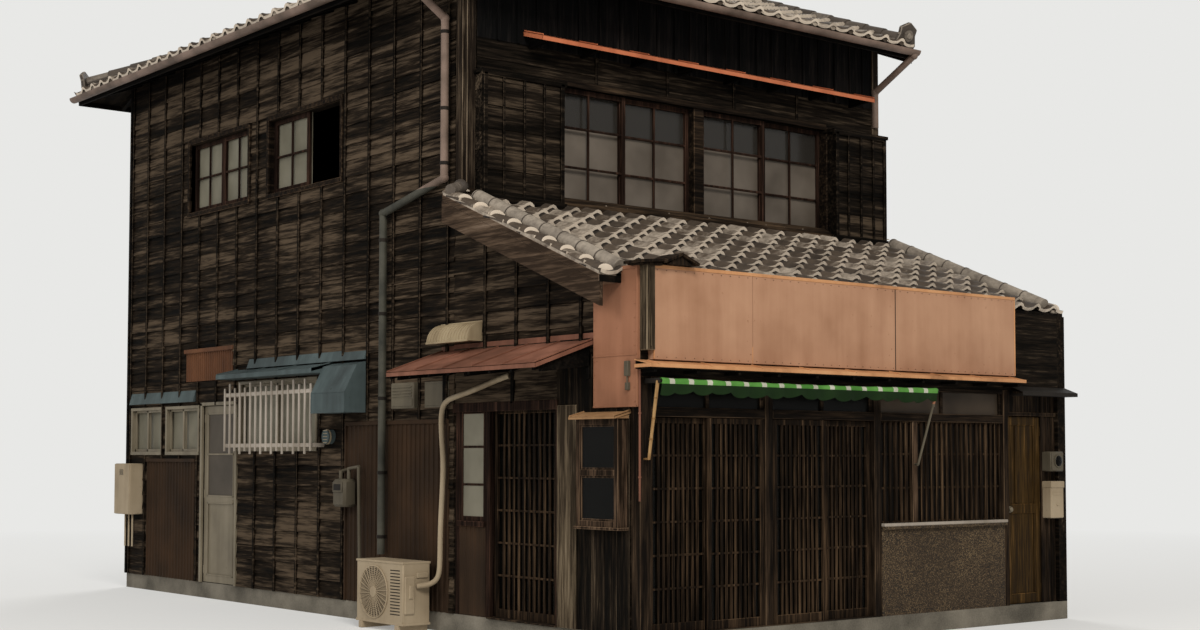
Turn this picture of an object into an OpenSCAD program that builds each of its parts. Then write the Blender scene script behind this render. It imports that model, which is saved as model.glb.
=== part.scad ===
// Two-storey timber townhouse at the end of a row, with a shop front.
// Millimetres. X runs right along the shop front, Y runs back from it, Z is up.
// The shop front stands on Y = 0 and the boarded side wall on X = 0, both at ground level.

/* [Main sizes] */
// width of the shop front, three bays of a ken
house_w = 5454; // [4545:1:6363]
// depth of the ground floor
house_d = 9545; // [7272:1:12726]
// distance the upper storey stands back from the shop front
setback = 2424; // [1818:1:3030]
// height of the lower edge of the main eave
eave_z = 5890; // [5200:1:6400]
// rise of the roofs for each millimetre of run
pitch = 0.4; // [0.3:0.01:0.5]
// thickness of the outer walls
wall_t = 120; // [90:1:180]
// top of the concrete base
base_h = 170; // [80:1:300]
// thickness of the concrete floor inside the base
slab_h = 150; // [80:1:250]
// width of the concrete strip under the walls
strip_w = 160; // [120:1:240]

/* [Upper floor] */
// top of the upper floor
floor_z = 2950; // [2600:1:3200]
// thickness of the upper floor
floor_t = 150; // [60:1:240]

/* [Shop front] */
// width of the corner post
post_w = 120; // [90:1:150]
// width of the post between the two pairs of sliding doors
centre_post_w = 90; // [60:1:120]
// width of the post between doors and shop window
mid_post_w = 90; // [60:1:120]
// width of the shop window between its posts
shop_w = 1710; // [1400:1:2100]
// width of the post at the right end of the shop window
end_post_w = 75; // [60:1:120]
// clear width of the bay at the right end
end_bay_w = 759; // [700:1:900]
// depth of the posts and rails of the shop front
frame_d = 110; // [90:1:150]
// height of the sliding door opening above ground
door_head_z = 1885; // [1700:1:2000]
// height of the head rail over the sliding doors
head_h = 75; // [50:1:150]
// top of the short panels over the doors
transom_z = 2200; // [2100:1:2300]
// thickness of the panels over the doors
transom_t = 30; // [15:1:60]
// height of the rail on top of the panels
transom_rail_h = 40; // [30:1:80]
// top of the concrete panel under the shop window
wainscot_z = 930; // [600:1:1200]
// thickness of the concrete panel
wainscot_t = 100; // [60:1:110]
// height of the sill on the concrete panel
sill_h = 50; // [30:1:90]
// how far the sill stands out of the shop front
sill_out = 35; // [0:1:80]

/* [Sliding lattice doors] */
// overlap of neighbouring doors
door_lap = 46; // [10:1:60]
// thickness of a lattice door
door_t = 32; // [24:1:45]
// gap between the two tracks and to the frame
track_gap = 8; // [6:1:20]
// gap under and over a sliding door
door_play = 6; // [6:1:12]
// gap beside a closed door
side_play = 6; // [6:1:12]
// width of a door stile
stile_w = 48; // [24:1:60]
// height of a door rail
rail_h = 46; // [30:1:90]
// height of the foot rail of a door
kick_h = 75; // [60:1:200]
// height of the thin rails of the lattice
thin_rail_h = 16; // [8:1:30]
// number of thin rails
thin_rail_n = 5; // [2:1:8]
// width of a lattice bar
bar_w = 27; // [12:1:34]
// number of bars in a door
bar_n = 9; // [5:1:12]
// depth of the bars
bar_d = 14; // [8:1:20]
// number of bars in the side door
side_bar_n = 11; // [6:1:14]

/* [Shop window lattice] */
// number of bars in the shop window
shop_bar_n = 25; // [12:1:32]
// width of a shop window bar
shop_bar_w = 32; // [16:1:40]
// depth of a shop window bar
shop_bar_d = 24; // [10:1:30]
// width of the upright inside the shop window
shop_post_w = 70; // [40:1:110]
// distance of that upright from the left post
shop_post_off = 430; // [200:1:900]
// thickness of the glass panes
glass_t = 6; // [4:1:10]

/* [Sign] */
// left end of the bare copper board
sign_x = 84; // [60:1:200]
// lower edge of the copper board
sign_z = 2330; // [2200:1:2500]
// upper edge of the copper board
sign_top_z = 3070; // [2800:1:3200]
// thickness of the copper board
sign_t = 60; // [30:1:100]
// depth of the panel that closes the side of the board
return_d = 550; // [300:1:560]
// lower edge of the side panel
return_z = 1958; // [1700:1:2300]
// thickness of the side panel
return_t = 25; // [15:1:50]
// height of the sheet ledge under the board
ledge_h = 80; // [40:1:120]
// how far the ledge stands out
ledge_out = 190; // [100:1:300]
// how far board and ledge run past the post at the right end
ledge_over = 25; // [0:1:100]
// left end of the ledge
ledge_x = -60; // [-120:1:0]
// width of the weathered post on the corner
corner_post_w = 90; // [60:1:120]
// lower end of the weathered post
corner_post_z = 2400; // [2200:1:2600]
// length of the small gabled cap on the post
cap_l = 600; // [300:1:800]
// depth of the cap
cap_d = 260; // [150:1:360]
// rise of the cap
cap_rise = 110; // [60:1:200]
// thickness of the edge of the cap
cap_edge = 35; // [20:1:60]

/* [Awning] */
// left end of the rolled awning
awning_x = 50; // [0:1:300]
// right end of the rolled awning
awning_end_x = 3380; // [2800:1:4000]
// radius of the rolled awning
awning_r = 58; // [40:1:90]
// height of the middle of the roll
awning_z = 2165; // [2080:1:2230]
// distance of the roll from the shop front
awning_y = 190; // [120:1:300]
// thickness of an awning arm
arm_t = 22; // [14:1:40]
// length of an awning arm
arm_l = 640; // [300:1:900]

/* [Pent roof] */
// distance of the front edge from the shop front
pent_y = 200; // [100:1:400]
// underside of the pent roof at its front edge
pent_z = 2940; // [2900:1:3000]
// thickness of the pent roof
pent_t = 100; // [60:1:140]
// how far the pent roof runs past both walls
pent_out = 250; // [150:1:400]
// height of the boards along its slanting edges
barge_h = 190; // [100:1:260]
// thickness of those boards
barge_t = 36; // [20:1:60]
// radius of the rolls of round tiles near its slanting edges
verge_r = 65; // [50:1:80]
// distance of these rolls from the slanting edges
verge_off = 245; // [150:1:300]
// thickness of the gutter board behind the shop front
board_t = 30; // [15:1:40]

/* [Main roof] */
// how far the main eaves stand out
eave_out = 500; // [300:1:800]
// how far the roof runs past the party wall
party_out = 40; // [0:1:200]
// thickness of the tiled roof
roof_t = 130; // [80:1:200]
// width of the ridges
ridge_w = 240; // [160:1:320]
// height of the ridges
ridge_h = 170; // [100:1:300]
// width of the eave rafters
rafter_w = 45; // [30:1:70]
// height of the eave rafters
rafter_h = 60; // [40:1:90]
// spacing of the eave rafters
rafter_gap = 454; // [300:1:600]
// thickness of the flat end tiles of the ridges
end_tile_t = 50; // [30:1:80]
// how far an end tile stands out round its ridge
end_tile_out = 45; // [10:1:80]
// radius of the half-round gutters
gutter_r = 55; // [40:1:75]
// thickness of gutter sheet
gutter_t = 6; // [3:1:10]
// gap between a gutter and the corner of the eaves
gutter_end = 20; // [10:1:60]
// height of the rim of a gutter above the lower edge of the eave
gutter_up = 30; // [5:1:50]
// radius of the downpipes
pipe_r = 36; // [25:1:50]
// distance of the downpipe from the front of the upper storey
pipe_off = 230; // [150:1:400]
// height at which the downpipe bends
pipe_bend_z = 4080; // [4030:1:4300]
// drop of the slanting stretch of the downpipe
pipe_drop = 210; // [120:1:400]
// run of the slanting stretch of the downpipe
pipe_shift = 1030; // [700:1:1200]
// lower end of the downpipe
pipe_end_z = 650; // [630:1:900]
// height of the swan neck between gutter and wall
neck_h = 380; // [250:1:600]
// how much wider the sockets at the bends are
socket = 7; // [3:1:12]

/* [Upper front] */
// left edge of the row of upper windows
uwin_x = 1000; // [800:1:1300]
// right edge of the row of upper windows
uwin_end_x = 4640; // [4200:1:4900]
// lower edge of the upper windows
uwin_z = 3920; // [3700:1:4200]
// upper edge of the upper windows
uwin_top_z = 5040; // [4800:1:5300]
// width of the post in the row of windows
uwin_post_w = 130; // [80:1:180]
// thickness of a wooden sash
sash_t = 34; // [24:1:50]
// width of a wooden sash member
sash_w = 48; // [30:1:70]
// width of the thin sash bars
muntin_w = 22; // [12:1:36]
// how far the shutter boxes stand out
box_out = 140; // [90:1:220]
// left edge of the left shutter box
box_x = 90; // [0:1:200]
// lower edge of the shutter boxes
box_z = 3900; // [3700:1:4200]
// upper edge of the shutter boxes
box_top_z = 5010; // [4800:1:5300]
// thickness of the plates under and over the shutter boxes
box_plate = 70; // [40:1:120]
// how far these plates stand out of the boxes
plate_out = 30; // [10:1:60]
// height of the hood over the windows at the wall
hood_z = 5490; // [5300:1:5600]
// depth of the hood
hood_out = 300; // [200:1:450]
// fall of the hood
hood_fall = 90; // [40:1:160]
// thickness of the hood edge
hood_t = 60; // [30:1:90]
// left end of the hood
hood_x = 640; // [200:1:900]
// right end of the hood
hood_end_x = 5100; // [4800:1:5400]

/* [Side wall] */
// front edge of the side door opening
sdoor_y = 1050; // [900:1:1300]
// width of the side door opening
sdoor_w = 970; // [800:1:1100]
// width of the side window beside that door
swin_w = 400; // [300:1:600]
// height of the side door opening above ground
sdoor_z = 1990; // [1800:1:2100]
// width of the posts round the side door
spost_w = 60; // [40:1:100]
// thickness of the boards the side door slides behind
thin_wall_t = 48; // [36:1:60]
// sill of the side window
swin_z = 980; // [700:1:1200]
// height of the plain walls over which the band of boards starts
band_z = 2400; // [2390:1:2600]
// back edge of the kitchen window
kwin_y = 4990; // [4400:1:5400]
// width of the kitchen window
kwin_w = 1690; // [1200:1:1800]
// sill of the kitchen window
kwin_z = 1620; // [1200:1:1700]
// height of the kitchen window
kwin_h = 750; // [600:1:770]
// gap between the kitchen window and the back door opening
bdoor_gap = 60; // [30:1:300]
// width of the back door opening
bdoor_w = 790; // [700:1:900]
// head of the back door opening
bdoor_z = 2130; // [1900:1:2200]
// gap between the back door opening and the first back window
bwin_off = 90; // [40:1:300]
// width of the wall between the last back window and the corner
corner_w = 115; // [60:1:300]
// gap between the back windows
bwin_gap = 90; // [60:1:200]
// sill of the back windows
bwin_z = 1580; // [1200:1:1700]
// height of the back windows
bwin_h = 560; // [400:1:700]
// front edge of the upper side windows
usw_y = 4560; // [4200:1:5000]
// width of the upper side window
usw_w = 1470; // [1000:1:1800]
// gap between the upper side windows
usw_gap = 470; // [200:1:900]
// width of the far upper window
usw2_w = 1400; // [1000:1:1800]
// sill of the upper side windows
usw_z = 4330; // [4000:1:4500]
// height of the upper side windows
usw_h = 780; // [600:1:900]

/* [Side fittings] */
// how far the side canopy starts before the side door
canopy_off = 485; // [200:1:700]
// length of the side canopy
canopy_l = 2200; // [1800:1:2400]
// how far the side canopy stands out
canopy_out = 600; // [400:1:700]
// height of the side canopy at the wall
canopy_z = 2520; // [2450:1:2600]
// fall of the side canopy
canopy_fall = 210; // [120:1:300]
// thickness of the side canopy
canopy_t = 70; // [40:1:100]
// number of brackets under the side canopy
bracket_n = 3; // [2:1:5]
// width of a bracket
bracket_w = 40; // [25:1:60]
// height of a bracket at the wall
bracket_h = 180; // [120:1:190]
// distance of the tip of a bracket from the edge of the canopy
bracket_in = 90; // [50:1:200]
// front edge of the showcase
case_y = 140; // [100:1:300]
// width of the showcase
case_w = 530; // [400:1:600]
// depth of the showcase
case_d = 110; // [80:1:200]
// lower edge of the showcase
case_z = 1010; // [800:1:1200]
// height of the showcase
case_h = 860; // [700:1:900]
// thickness of the back of the showcase
case_back = 20; // [10:1:40]
// height of its sheet roof
case_roof_h = 60; // [40:1:100]
// how far that roof stands out
case_eave = 60; // [30:1:90]
// thickness of the ribbed sheets
rib_t = 14; // [8:1:25]
// spacing of the ribs
rib_gap = 76; // [50:1:120]
// width of the ribbed sheet behind the air conditioner
rib_w = 1800; // [1200:1:2000]
// top of that sheet
rib_z = 1870; // [1500:1:2100]
// gap between a ribbed sheet and the frame or box beside it
rib_off = 100; // [40:1:200]
// height of the cap strip on the sheets
cap_strip_h = 36; // [20:1:60]
// top of the patch of ribbed sheet over the back door
patch_z = 2740; // [2650:1:2780]
// height of the patch
patch_h = 330; // [200:1:400]
// width of the patch
patch_w = 1150; // [800:1:1500]
// width of the air conditioner
ac_w = 790; // [700:1:900]
// depth of the air conditioner
ac_d = 290; // [250:1:350]
// height of the air conditioner
ac_h = 560; // [500:1:650]
// front edge of the air conditioner
ac_y = 2810; // [2790:1:2900]
// gap between the air conditioner and the wall
ac_gap = 90; // [50:1:150]
// height of the feet of the air conditioner
ac_foot = 60; // [30:1:120]
// width of a foot of the air conditioner
foot_w = 60; // [30:1:90]
// radius of the round grille of the air conditioner
fan_r = 235; // [200:1:260]
// depth of that grille
fan_d = 20; // [10:1:40]
// distance of the middle of the grille from the near side
fan_y = 485; // [300:1:500]

/* [Wall fixtures] */
// width of the water heater
heater_w = 420; // [300:1:500]
// depth of the water heater
heater_d = 180; // [120:1:260]
// height of the water heater
heater_h = 600; // [400:1:800]
// lower edge of the water heater
heater_z = 880; // [700:1:1100]
// distance of the water heater from the back corner
heater_off = 30; // [10:1:200]
// distance of the gas meter from the kitchen window
meter_off = 780; // [740:1:900]
// width of the gas meter
meter_w = 230; // [150:1:300]
// depth of the gas meter
meter_d = 160; // [100:1:200]
// height of the gas meter
meter_h = 270; // [200:1:350]
// lower edge of the gas meter
meter_z = 1080; // [900:1:1200]
// width of the small boxes over the ribbed sheet
vent_w = 390; // [200:1:500]
// height of the small boxes
vent_h = 240; // [150:1:300]
// lower edge of the small boxes
vent_z = 2010; // [1940:1:2100]
// depth of the first box, a flat panel
vent_d = 20; // [12:1:25]
// depth of the second box
vent2_d = 80; // [60:1:150]
// gap between the two boxes
vent_gap = 90; // [40:1:200]
// width of the cooker hood cover
hood_cover_w = 640; // [500:1:800]
// depth of the cooker hood cover
hood_cover_d = 260; // [180:1:350]
// lower edge of the cooker hood cover
hood_cover_z = 1990; // [1900:1:2050]
// height of the cooker hood cover
hood_cover_h = 500; // [400:1:520]
// height at which the front of that cover starts to lean back
hood_cover_lean = 200; // [100:1:300]
// drop of its sloping top
hood_cover_top = 40; // [10:1:100]
// how far the kitchen canopy stands out
kcan_out = 260; // [150:1:350]
// how far the kitchen canopy runs past the window
kcan_over = 300; // [100:1:400]
// height of the kitchen canopy at the wall
kcan_h = 110; // [80:1:140]
// height of the front edge of the kitchen canopy
kcan_edge = 45; // [20:1:70]
// height of the flashing over the kitchen canopy
flash_h = 100; // [60:1:160]
// how far a flashing stands out at its lower edge
flash_out = 50; // [20:1:80]
// length of the flashing over the kitchen canopy
flash_w = 2400; // [1800:1:2600]
// height of the flashing over the back windows
flash2_h = 130; // [80:1:180]
// lower edge of that flashing
flash2_z = 2180; // [2150:1:2230]
// radius of the round vent cap
cap_r = 70; // [40:1:90]
// depth of the round vent cap
cap_out = 90; // [50:1:130]
// distance of the window grille from the wall
grille_out = 180; // [100:1:250]
// number of grille bars
grille_n = 17; // [8:1:24]
// width of a grille bar
grille_bar_w = 22; // [12:1:30]
// how far the grille runs past the front of the window
grille_over = 150; // [50:1:190]
// how far the grille runs past the back of the window
grille_back = 25; // [0:1:40]
// width of the members of the metal windows
metal_w = 40; // [25:1:60]
// length of the curved hood over the canopy
lamp_l = 640; // [400:1:700]
// radius of the curved hood
lamp_r = 170; // [100:1:220]
// height of the lower edge of the curved hood above the canopy
lamp_up = 60; // [20:1:120]
// radius of the wrapped pipes of the air conditioner
duct_r = 34; // [20:1:40]
// distance of these pipes from the air conditioner
duct_off = 120; // [90:1:160]
// height at which these pipes leave the wall
duct_top_z = 2240; // [2230:1:2260]
// distance of that place from the front edge of the side door
duct_start = 690; // [680:1:750]
// height at which these pipes bend down
duct_bend_z = 2030; // [2020:1:2060]
// lower end of these pipes
duct_z = 440; // [300:1:600]

/* [Right end] */
// distance of the end door from the shop front
recess_d = 40; // [20:1:70]
// width of the fixed panel beside the end door
panel_w = 220; // [150:1:300]
// thickness of the fixed panel
panel_t = 60; // [40:1:70]
// head of the end door opening
edoor_z = 1960; // [1900:1:2050]
// how far the small ledge over the end door stands out
end_ledge_out = 150; // [80:1:200]
// width of the meter box and mailbox
post_box_w = 200; // [120:1:205]
// depth of the meter box and mailbox
post_box_d = 110; // [60:1:150]
// lower edge of the mailbox
mail_z = 980; // [800:1:1100]
// height of the mailbox
mail_h = 350; // [250:1:400]
// lower edge of the meter box
dial_z = 1430; // [1420:1:1600]
// height of the meter box
dial_h = 190; // [120:1:260]
// thickness of the hinged doors
leaf_t = 36; // [30:1:45]
// gap round a hinged door
leaf_play = 8; // [8:1:12]
// radius of the hinge knuckles
hinge_r = 5; // [4:1:5]
// distance of the hinge axis from the edge of the door
hinge_in = 5; // [5:1:8]
// length of a hinge knuckle
hinge_l = 90; // [50:1:120]
// height of the lower panel of a hinged door
leaf_low_h = 800; // [500:1:1000]
// depth of the panels sunk into a hinged door
leaf_cut = 12; // [5:1:18]
// radius of a door knob
knob_r = 24; // [15:1:35]
// how far a door knob stands out
knob_out = 40; // [20:1:60]
// height of the door knobs above ground
knob_z = 1070; // [900:1:1150]

/* [Fits] */
// depth that the pieces of one fused assembly are let into each other
seat = 5; // [2:1:10]
// gap between fixed pieces that meet without touching
fit_gap = 4; // [2:1:10]
// distance of a window's glass from the inner face of the wall or frame
glass_in = 16; // [12:1:20]
// overlap of the side door and its opening
sleaf_lap = 12; // [8:1:20]

/* [Hidden] */
wall_top_z = eave_z + pitch * eave_out;
floor_low_z = floor_z - floor_t;
pent_len = setback - pent_y;
pent_rise = pent_len * pitch;
pent_top_z = pent_z + pent_rise;
party_x = house_w - wall_t;
end_x = party_x - end_bay_w;
end_post_x = end_x - end_post_w;
shop_x = end_post_x - shop_w;
mid_post_x = shop_x - mid_post_w;
pair_w = (mid_post_x - post_w - centre_post_w) / 2;
centre_post_x = post_w + pair_w;
pair_x = [post_w, centre_post_x + centre_post_w];
door_w = (pair_w - 2 * side_play + door_lap) / 2;
door_step = door_w - door_lap;
door_h = door_head_z - base_h - 2 * door_play;
door_z0 = base_h + door_play;
track_front_y = track_gap;
track_back_y = track_gap * 2 + door_t;
shop_z = wainscot_z + sill_h;
sign_end_x = end_x + ledge_over;
cap_x = sign_x - corner_post_w - cap_l / 6;
cap_y = -sign_t / 2 - cap_d / 2;
roof_x0 = -eave_out;
roof_x1 = house_w + party_out;
roof_y0 = setback - eave_out;
roof_y1 = house_d + eave_out;
roof_half = (roof_y1 - roof_y0) / 2;
ridge_y = (roof_y0 + roof_y1) / 2;
ridge_z = eave_z + roof_half * pitch;
swin_y = sdoor_y + sdoor_w + spost_w;
side_end_y = swin_y + swin_w + spost_w;
canopy_y = sdoor_y - canopy_off;
sleaf_x = thin_wall_t + track_gap;
sleaf_w = sdoor_w + 2 * sleaf_lap;
bdoor_y = kwin_y + kwin_w + bdoor_gap;
bwin_y = bdoor_y + bdoor_w + bwin_off;
bwin_w = (house_d - bwin_y - bwin_gap - corner_w) / 2;
bwin2_y = bwin_y + bwin_w + bwin_gap;
usw2_y = usw_y + usw_w + usw_gap;
back_win_x = house_w / 2 - kwin_w / 2;
leaf_x = party_x - panel_w - leaf_play;
pipe_x = -2 * rib_t - fit_gap - pipe_r;
pipe_y = setback + pipe_off;
half_uwin = (uwin_end_x - uwin_x - uwin_post_w) / 2;
metal_out = 20;
spare = 100;
deep = 1000;
ridge_start = 160;
ridge_end = 60;
rafter_start = 30;
hair = 1;

// a box from its lower corner, its size in the order x, y, z
module box(x, y, z, w, d, h) {
    translate([x, y, z]) cube([w, d, h]);
}

// a prism along X from a profile of y and z
module along_x(x, w, profile) {
    translate([x, 0, 0]) rotate([90, 0, 90]) linear_extrude(w) polygon(profile);
}

// a prism along Y from a profile of x and z
module along_y(y, d, profile) {
    translate([0, y + d, 0]) rotate([90, 0, 0]) linear_extrude(d) polygon(profile);
}

// a frame in the plane of X and Z
module frame_xz(x, y, z, w, d, h, member) {
    difference() {
        box(x, y, z, w, d, h);
        box(x + member, y - hair, z + member, w - 2 * member, d + 2 * hair, h - 2 * member);
    }
}

// a frame in the plane of Y and Z
module frame_yz(x, y, z, d, w, h, member) {
    difference() {
        box(x, y, z, d, w, h);
        box(x - hair, y + member, z + member, d + 2 * hair, w - 2 * member, h - 2 * member);
    }
}

// concrete base with the floor of the shop
module foundation() {
    color([0.52, 0.50, 0.46]) {
        box(0, 0, 0, house_w, strip_w, base_h);
        box(0, house_d - strip_w, 0, house_w, strip_w, base_h);
        box(0, 0, 0, strip_w, house_d, base_h);
        box(house_w - strip_w, 0, 0, strip_w, house_d, base_h);
        box(strip_w - seat, strip_w - seat, 0, house_w - 2 * strip_w + 2 * seat, house_d - 2 * strip_w + 2 * seat, slab_h);
    }
}

// boarded upper floor between the walls
module upper_floor() {
    color([0.42, 0.30, 0.20])
        box(wall_t, setback, floor_low_z, house_w - 2 * wall_t, house_d - setback - wall_t, floor_t);
}

// posts of the shop front
module front_posts() {
    color([0.30, 0.22, 0.16]) {
        box(0, 0, base_h, post_w, frame_d, transom_z - base_h);
        box(centre_post_x, 0, base_h, centre_post_w, frame_d, transom_z - base_h);
        box(mid_post_x, 0, base_h, mid_post_w, frame_d, transom_z - base_h);
        box(end_post_x, 0, base_h, end_post_w, frame_d, transom_z - base_h);
    }
}

// head rail, panels and top rail over the doors and the shop window
module front_rail(x, w) {
    box(x, 0, door_head_z, w, frame_d, head_h);
    box(x, (frame_d - transom_t) / 2, door_head_z + head_h - hair, w, transom_t, transom_z - door_head_z - head_h);
    box(x, 0, transom_z - transom_rail_h, w, frame_d, transom_rail_h);
}

module front_rails() {
    color([0.20, 0.16, 0.13]) {
        for (x = pair_x)
            front_rail(x, pair_w);
        front_rail(shop_x, shop_w);
    }
}

// rough concrete panel and sill under the shop window
module wainscot() {
    color([0.45, 0.41, 0.36])
        box(shop_x, 0, base_h, shop_w, wainscot_t, wainscot_z - base_h);
    color([0.45, 0.41, 0.36])
        box(shop_x, -sill_out, wainscot_z - hair, shop_w, wainscot_t + sill_out, sill_h + hair);
}

// close lattice of the shop window
module shop_lattice() {
    h = door_head_z - shop_z;
    step = (shop_w - shop_bar_w) / (shop_bar_n - 1);
    color([0.26, 0.20, 0.15]) {
        for (i = [0 : shop_bar_n - 1])
            box(shop_x + i * step, frame_d / 4, shop_z, shop_bar_w, shop_bar_d, h);
        for (z = [shop_z, shop_z + h / 3, shop_z + 2 * h / 3, shop_z + h - thin_rail_h])
            box(shop_x, frame_d / 4 + shop_bar_d / 2, z, shop_w, shop_bar_d, thin_rail_h);
        box(shop_x + shop_post_off, frame_d / 8, shop_z, shop_post_w, frame_d / 2, h);
    }
}

// one sliding lattice door of pair p, its outer face on y, place 0 or 1 in the pair
module lattice_door(p, place, y) {
    x = pair_x[p] + side_play + place * door_step;
    inner_w = door_w - 2 * stile_w;
    lattice_z = door_z0 + kick_h;
    lattice_h = door_h - kick_h - rail_h;
    step = (inner_w - bar_w) / (bar_n + 1);
    color([0.33, 0.24, 0.17]) {
        difference() {
            box(x, y, door_z0, door_w, door_t, door_h);
            box(x + stile_w, y - hair, lattice_z, inner_w, door_t + 2 * hair, lattice_h);
        }
        for (i = [1 : bar_n])
            box(x + stile_w + i * step, y + bar_d / 2, lattice_z - hair, bar_w, bar_d, lattice_h + 2 * hair);
        for (i = [1 : thin_rail_n])
            box(x + stile_w - hair, y + bar_d / 4, lattice_z + i * lattice_h / (thin_rail_n + 1), inner_w + 2 * hair, bar_d, thin_rail_h);
    }
}

module front_door_1() { lattice_door(0, 0, track_back_y); }
module front_door_2() { lattice_door(0, 1, track_front_y); }
module front_door_3() { lattice_door(1, 0, track_front_y); }
module front_door_4() { lattice_door(1, 1, track_back_y); }

// bare copper board over the shop front and the panel that closes its left side
module sign_board() {
    color([0.62, 0.45, 0.38]) {
        box(sign_x, -sign_t, sign_z, sign_end_x - sign_x, sign_t, sign_top_z - sign_z);
        along_x(-return_t, return_t, [
            [0, return_z],
            [return_d, return_z],
            [return_d, pent_z + (return_d - pent_y) * pitch],
            [pent_y, pent_z],
            [pent_y - fit_gap, sign_top_z],
            [0, sign_top_z]
        ]);
    }
}

// weathered post on the corner, with a small gabled cap
module sign_post() {
    color([0.45, 0.42, 0.37]) {
        box(sign_x - corner_post_w, -corner_post_w, corner_post_z, corner_post_w, corner_post_w, sign_top_z - corner_post_z + hair);
        along_x(cap_x, cap_l, [
            [cap_y, sign_top_z],
            [cap_y + cap_d, sign_top_z],
            [cap_y + cap_d, sign_top_z + cap_edge],
            [cap_y + cap_d / 2, sign_top_z + cap_rise],
            [cap_y, sign_top_z + cap_edge]
        ]);
    }
}

// small sloping sheet ledge under the board
module sign_ledge() {
    color([0.70, 0.42, 0.30])
        along_x(ledge_x, sign_end_x - ledge_x, [
            [-ledge_out, sign_z - ledge_h],
            [0, sign_z - ledge_h],
            [0, sign_z],
            [-ledge_out, sign_z - ledge_h / 2]
        ]);
}

// rolled awning on its two arms
module awning_arm(x) {
    translate([x, -awning_y, awning_z])
        rotate([12, 0, 0])
            translate([0, -arm_t / 2, -arm_l])
                cube([arm_t, arm_t, arm_l]);
    box(x - 2, -awning_y, awning_z - arm_t, arm_t + 4, awning_y, 2 * arm_t);
}

module awning() {
    color([0.78, 0.80, 0.74]) {
        translate([awning_x, -awning_y, awning_z])
            rotate([0, 90, 0]) cylinder(r = awning_r, h = awning_end_x - awning_x, $fn = 32);
        awning_arm(awning_x - arm_t + seat);
        awning_arm(awning_end_x - seat);
    }
}

// walls over the doors of the shop front and of the side
module wall_heads() {
    color([0.23, 0.21, 0.19]) {
        box(0, 0, transom_z, party_x, frame_d, pent_z - transom_z);
        box(wall_t, frame_d - hair, pent_z - board_t, party_x - wall_t, pent_y - frame_d + board_t, board_t);
        box(0, sdoor_y, sdoor_z, wall_t, side_end_y - sdoor_y, band_z - sdoor_z);
        box(0, bdoor_y, bdoor_z, wall_t, bdoor_w, band_z - bdoor_z);
    }
}

// lower piers of the side wall
module left_wall_lower() {
    color([0.22, 0.20, 0.18]) {
        box(0, frame_d, base_h, thin_wall_t, sdoor_y - frame_d, band_z - base_h);
        difference() {
            box(0, side_end_y, base_h, wall_t, bdoor_y - side_end_y, band_z - base_h);
            box(-hair, kwin_y, kwin_z, wall_t + 2 * hair, kwin_w, kwin_h);
        }
        difference() {
            box(0, bdoor_y + bdoor_w, base_h, wall_t, house_d - bdoor_y - bdoor_w, band_z - base_h);
            box(-hair, bwin_y, bwin_z, wall_t + 2 * hair, bwin_w, bwin_h);
            box(-hair, bwin2_y, bwin_z, wall_t + 2 * hair, bwin_w, bwin_h);
        }
    }
}

// side wall and party wall under the pent roof
module gable_walls() {
    color([0.22, 0.20, 0.18]) {
        along_x(0, wall_t, [
            [frame_d, band_z],
            [setback, band_z],
            [setback, pent_top_z],
            [pent_y, pent_z],
            [frame_d, pent_z]
        ]);
        along_x(party_x, wall_t, [
            [0, base_h],
            [setback, base_h],
            [setback, pent_top_z],
            [pent_y, pent_z],
            [0, pent_z]
        ]);
    }
}

// side wall of the upper storey
module left_wall_upper() {
    color([0.20, 0.18, 0.17])
        difference() {
            box(0, setback, band_z, wall_t, house_d - setback, wall_top_z - band_z);
            box(-hair, usw_y, usw_z, wall_t + 2 * hair, usw_w, usw_h);
            box(-hair, usw2_y, usw_z, wall_t + 2 * hair, usw2_w, usw_h);
        }
}

// party wall of both storeys, up to the roof
module party_wall() {
    color([0.24, 0.22, 0.20])
        along_x(party_x, wall_t, [
            [setback, base_h],
            [house_d, base_h],
            [house_d, wall_top_z],
            [ridge_y, ridge_z],
            [setback, wall_top_z]
        ]);
}

// plain back wall
module back_wall() {
    color([0.21, 0.19, 0.18])
        difference() {
            box(wall_t, house_d - wall_t, base_h, house_w - 2 * wall_t, wall_t, wall_top_z - base_h);
            for (z = [kwin_z, usw_z])
                box(back_win_x, house_d - wall_t - hair, z, kwin_w, wall_t + 2 * hair, kwin_h);
        }
}

// front wall of the upper storey
module upper_front_wall() {
    color([0.17, 0.15, 0.14])
        difference() {
            box(wall_t, setback, floor_z, house_w - 2 * wall_t, wall_t, wall_top_z - floor_z);
            box(uwin_x, setback - hair, uwin_z, uwin_end_x - uwin_x, wall_t + 2 * hair, uwin_top_z - uwin_z);
        }
}

// everything under the tiles of the pent roof, k beyond its ends
module under_pent(k) {
    along_x(-pent_out - k, house_w + 2 * pent_out + 2 * k, [
        [pent_y, pent_z - spare],
        [setback + spare, pent_z - spare],
        [setback + spare, pent_top_z + pent_t + spare * pitch],
        [pent_y, pent_z + pent_t]
    ]);
}

// shutter box beside the upper windows
module shutter_box(x, w) {
    box(x, setback - box_out, box_z, w, box_out, box_top_z - box_z);
    box(x - plate_out, setback - box_out - plate_out, box_z - box_plate, w + 2 * plate_out, box_out + plate_out, box_plate + hair);
    box(x - plate_out, setback - box_out - plate_out, box_top_z - hair, w + 2 * plate_out, box_out + plate_out, box_plate / 2);
}

module shutter_boxes() {
    color([0.24, 0.22, 0.20])
        difference() {
            union() {
                shutter_box(box_x, uwin_x - box_x);
                shutter_box(uwin_end_x, house_w - plate_out - uwin_end_x);
            }
            under_pent(spare);
        }
}

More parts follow.
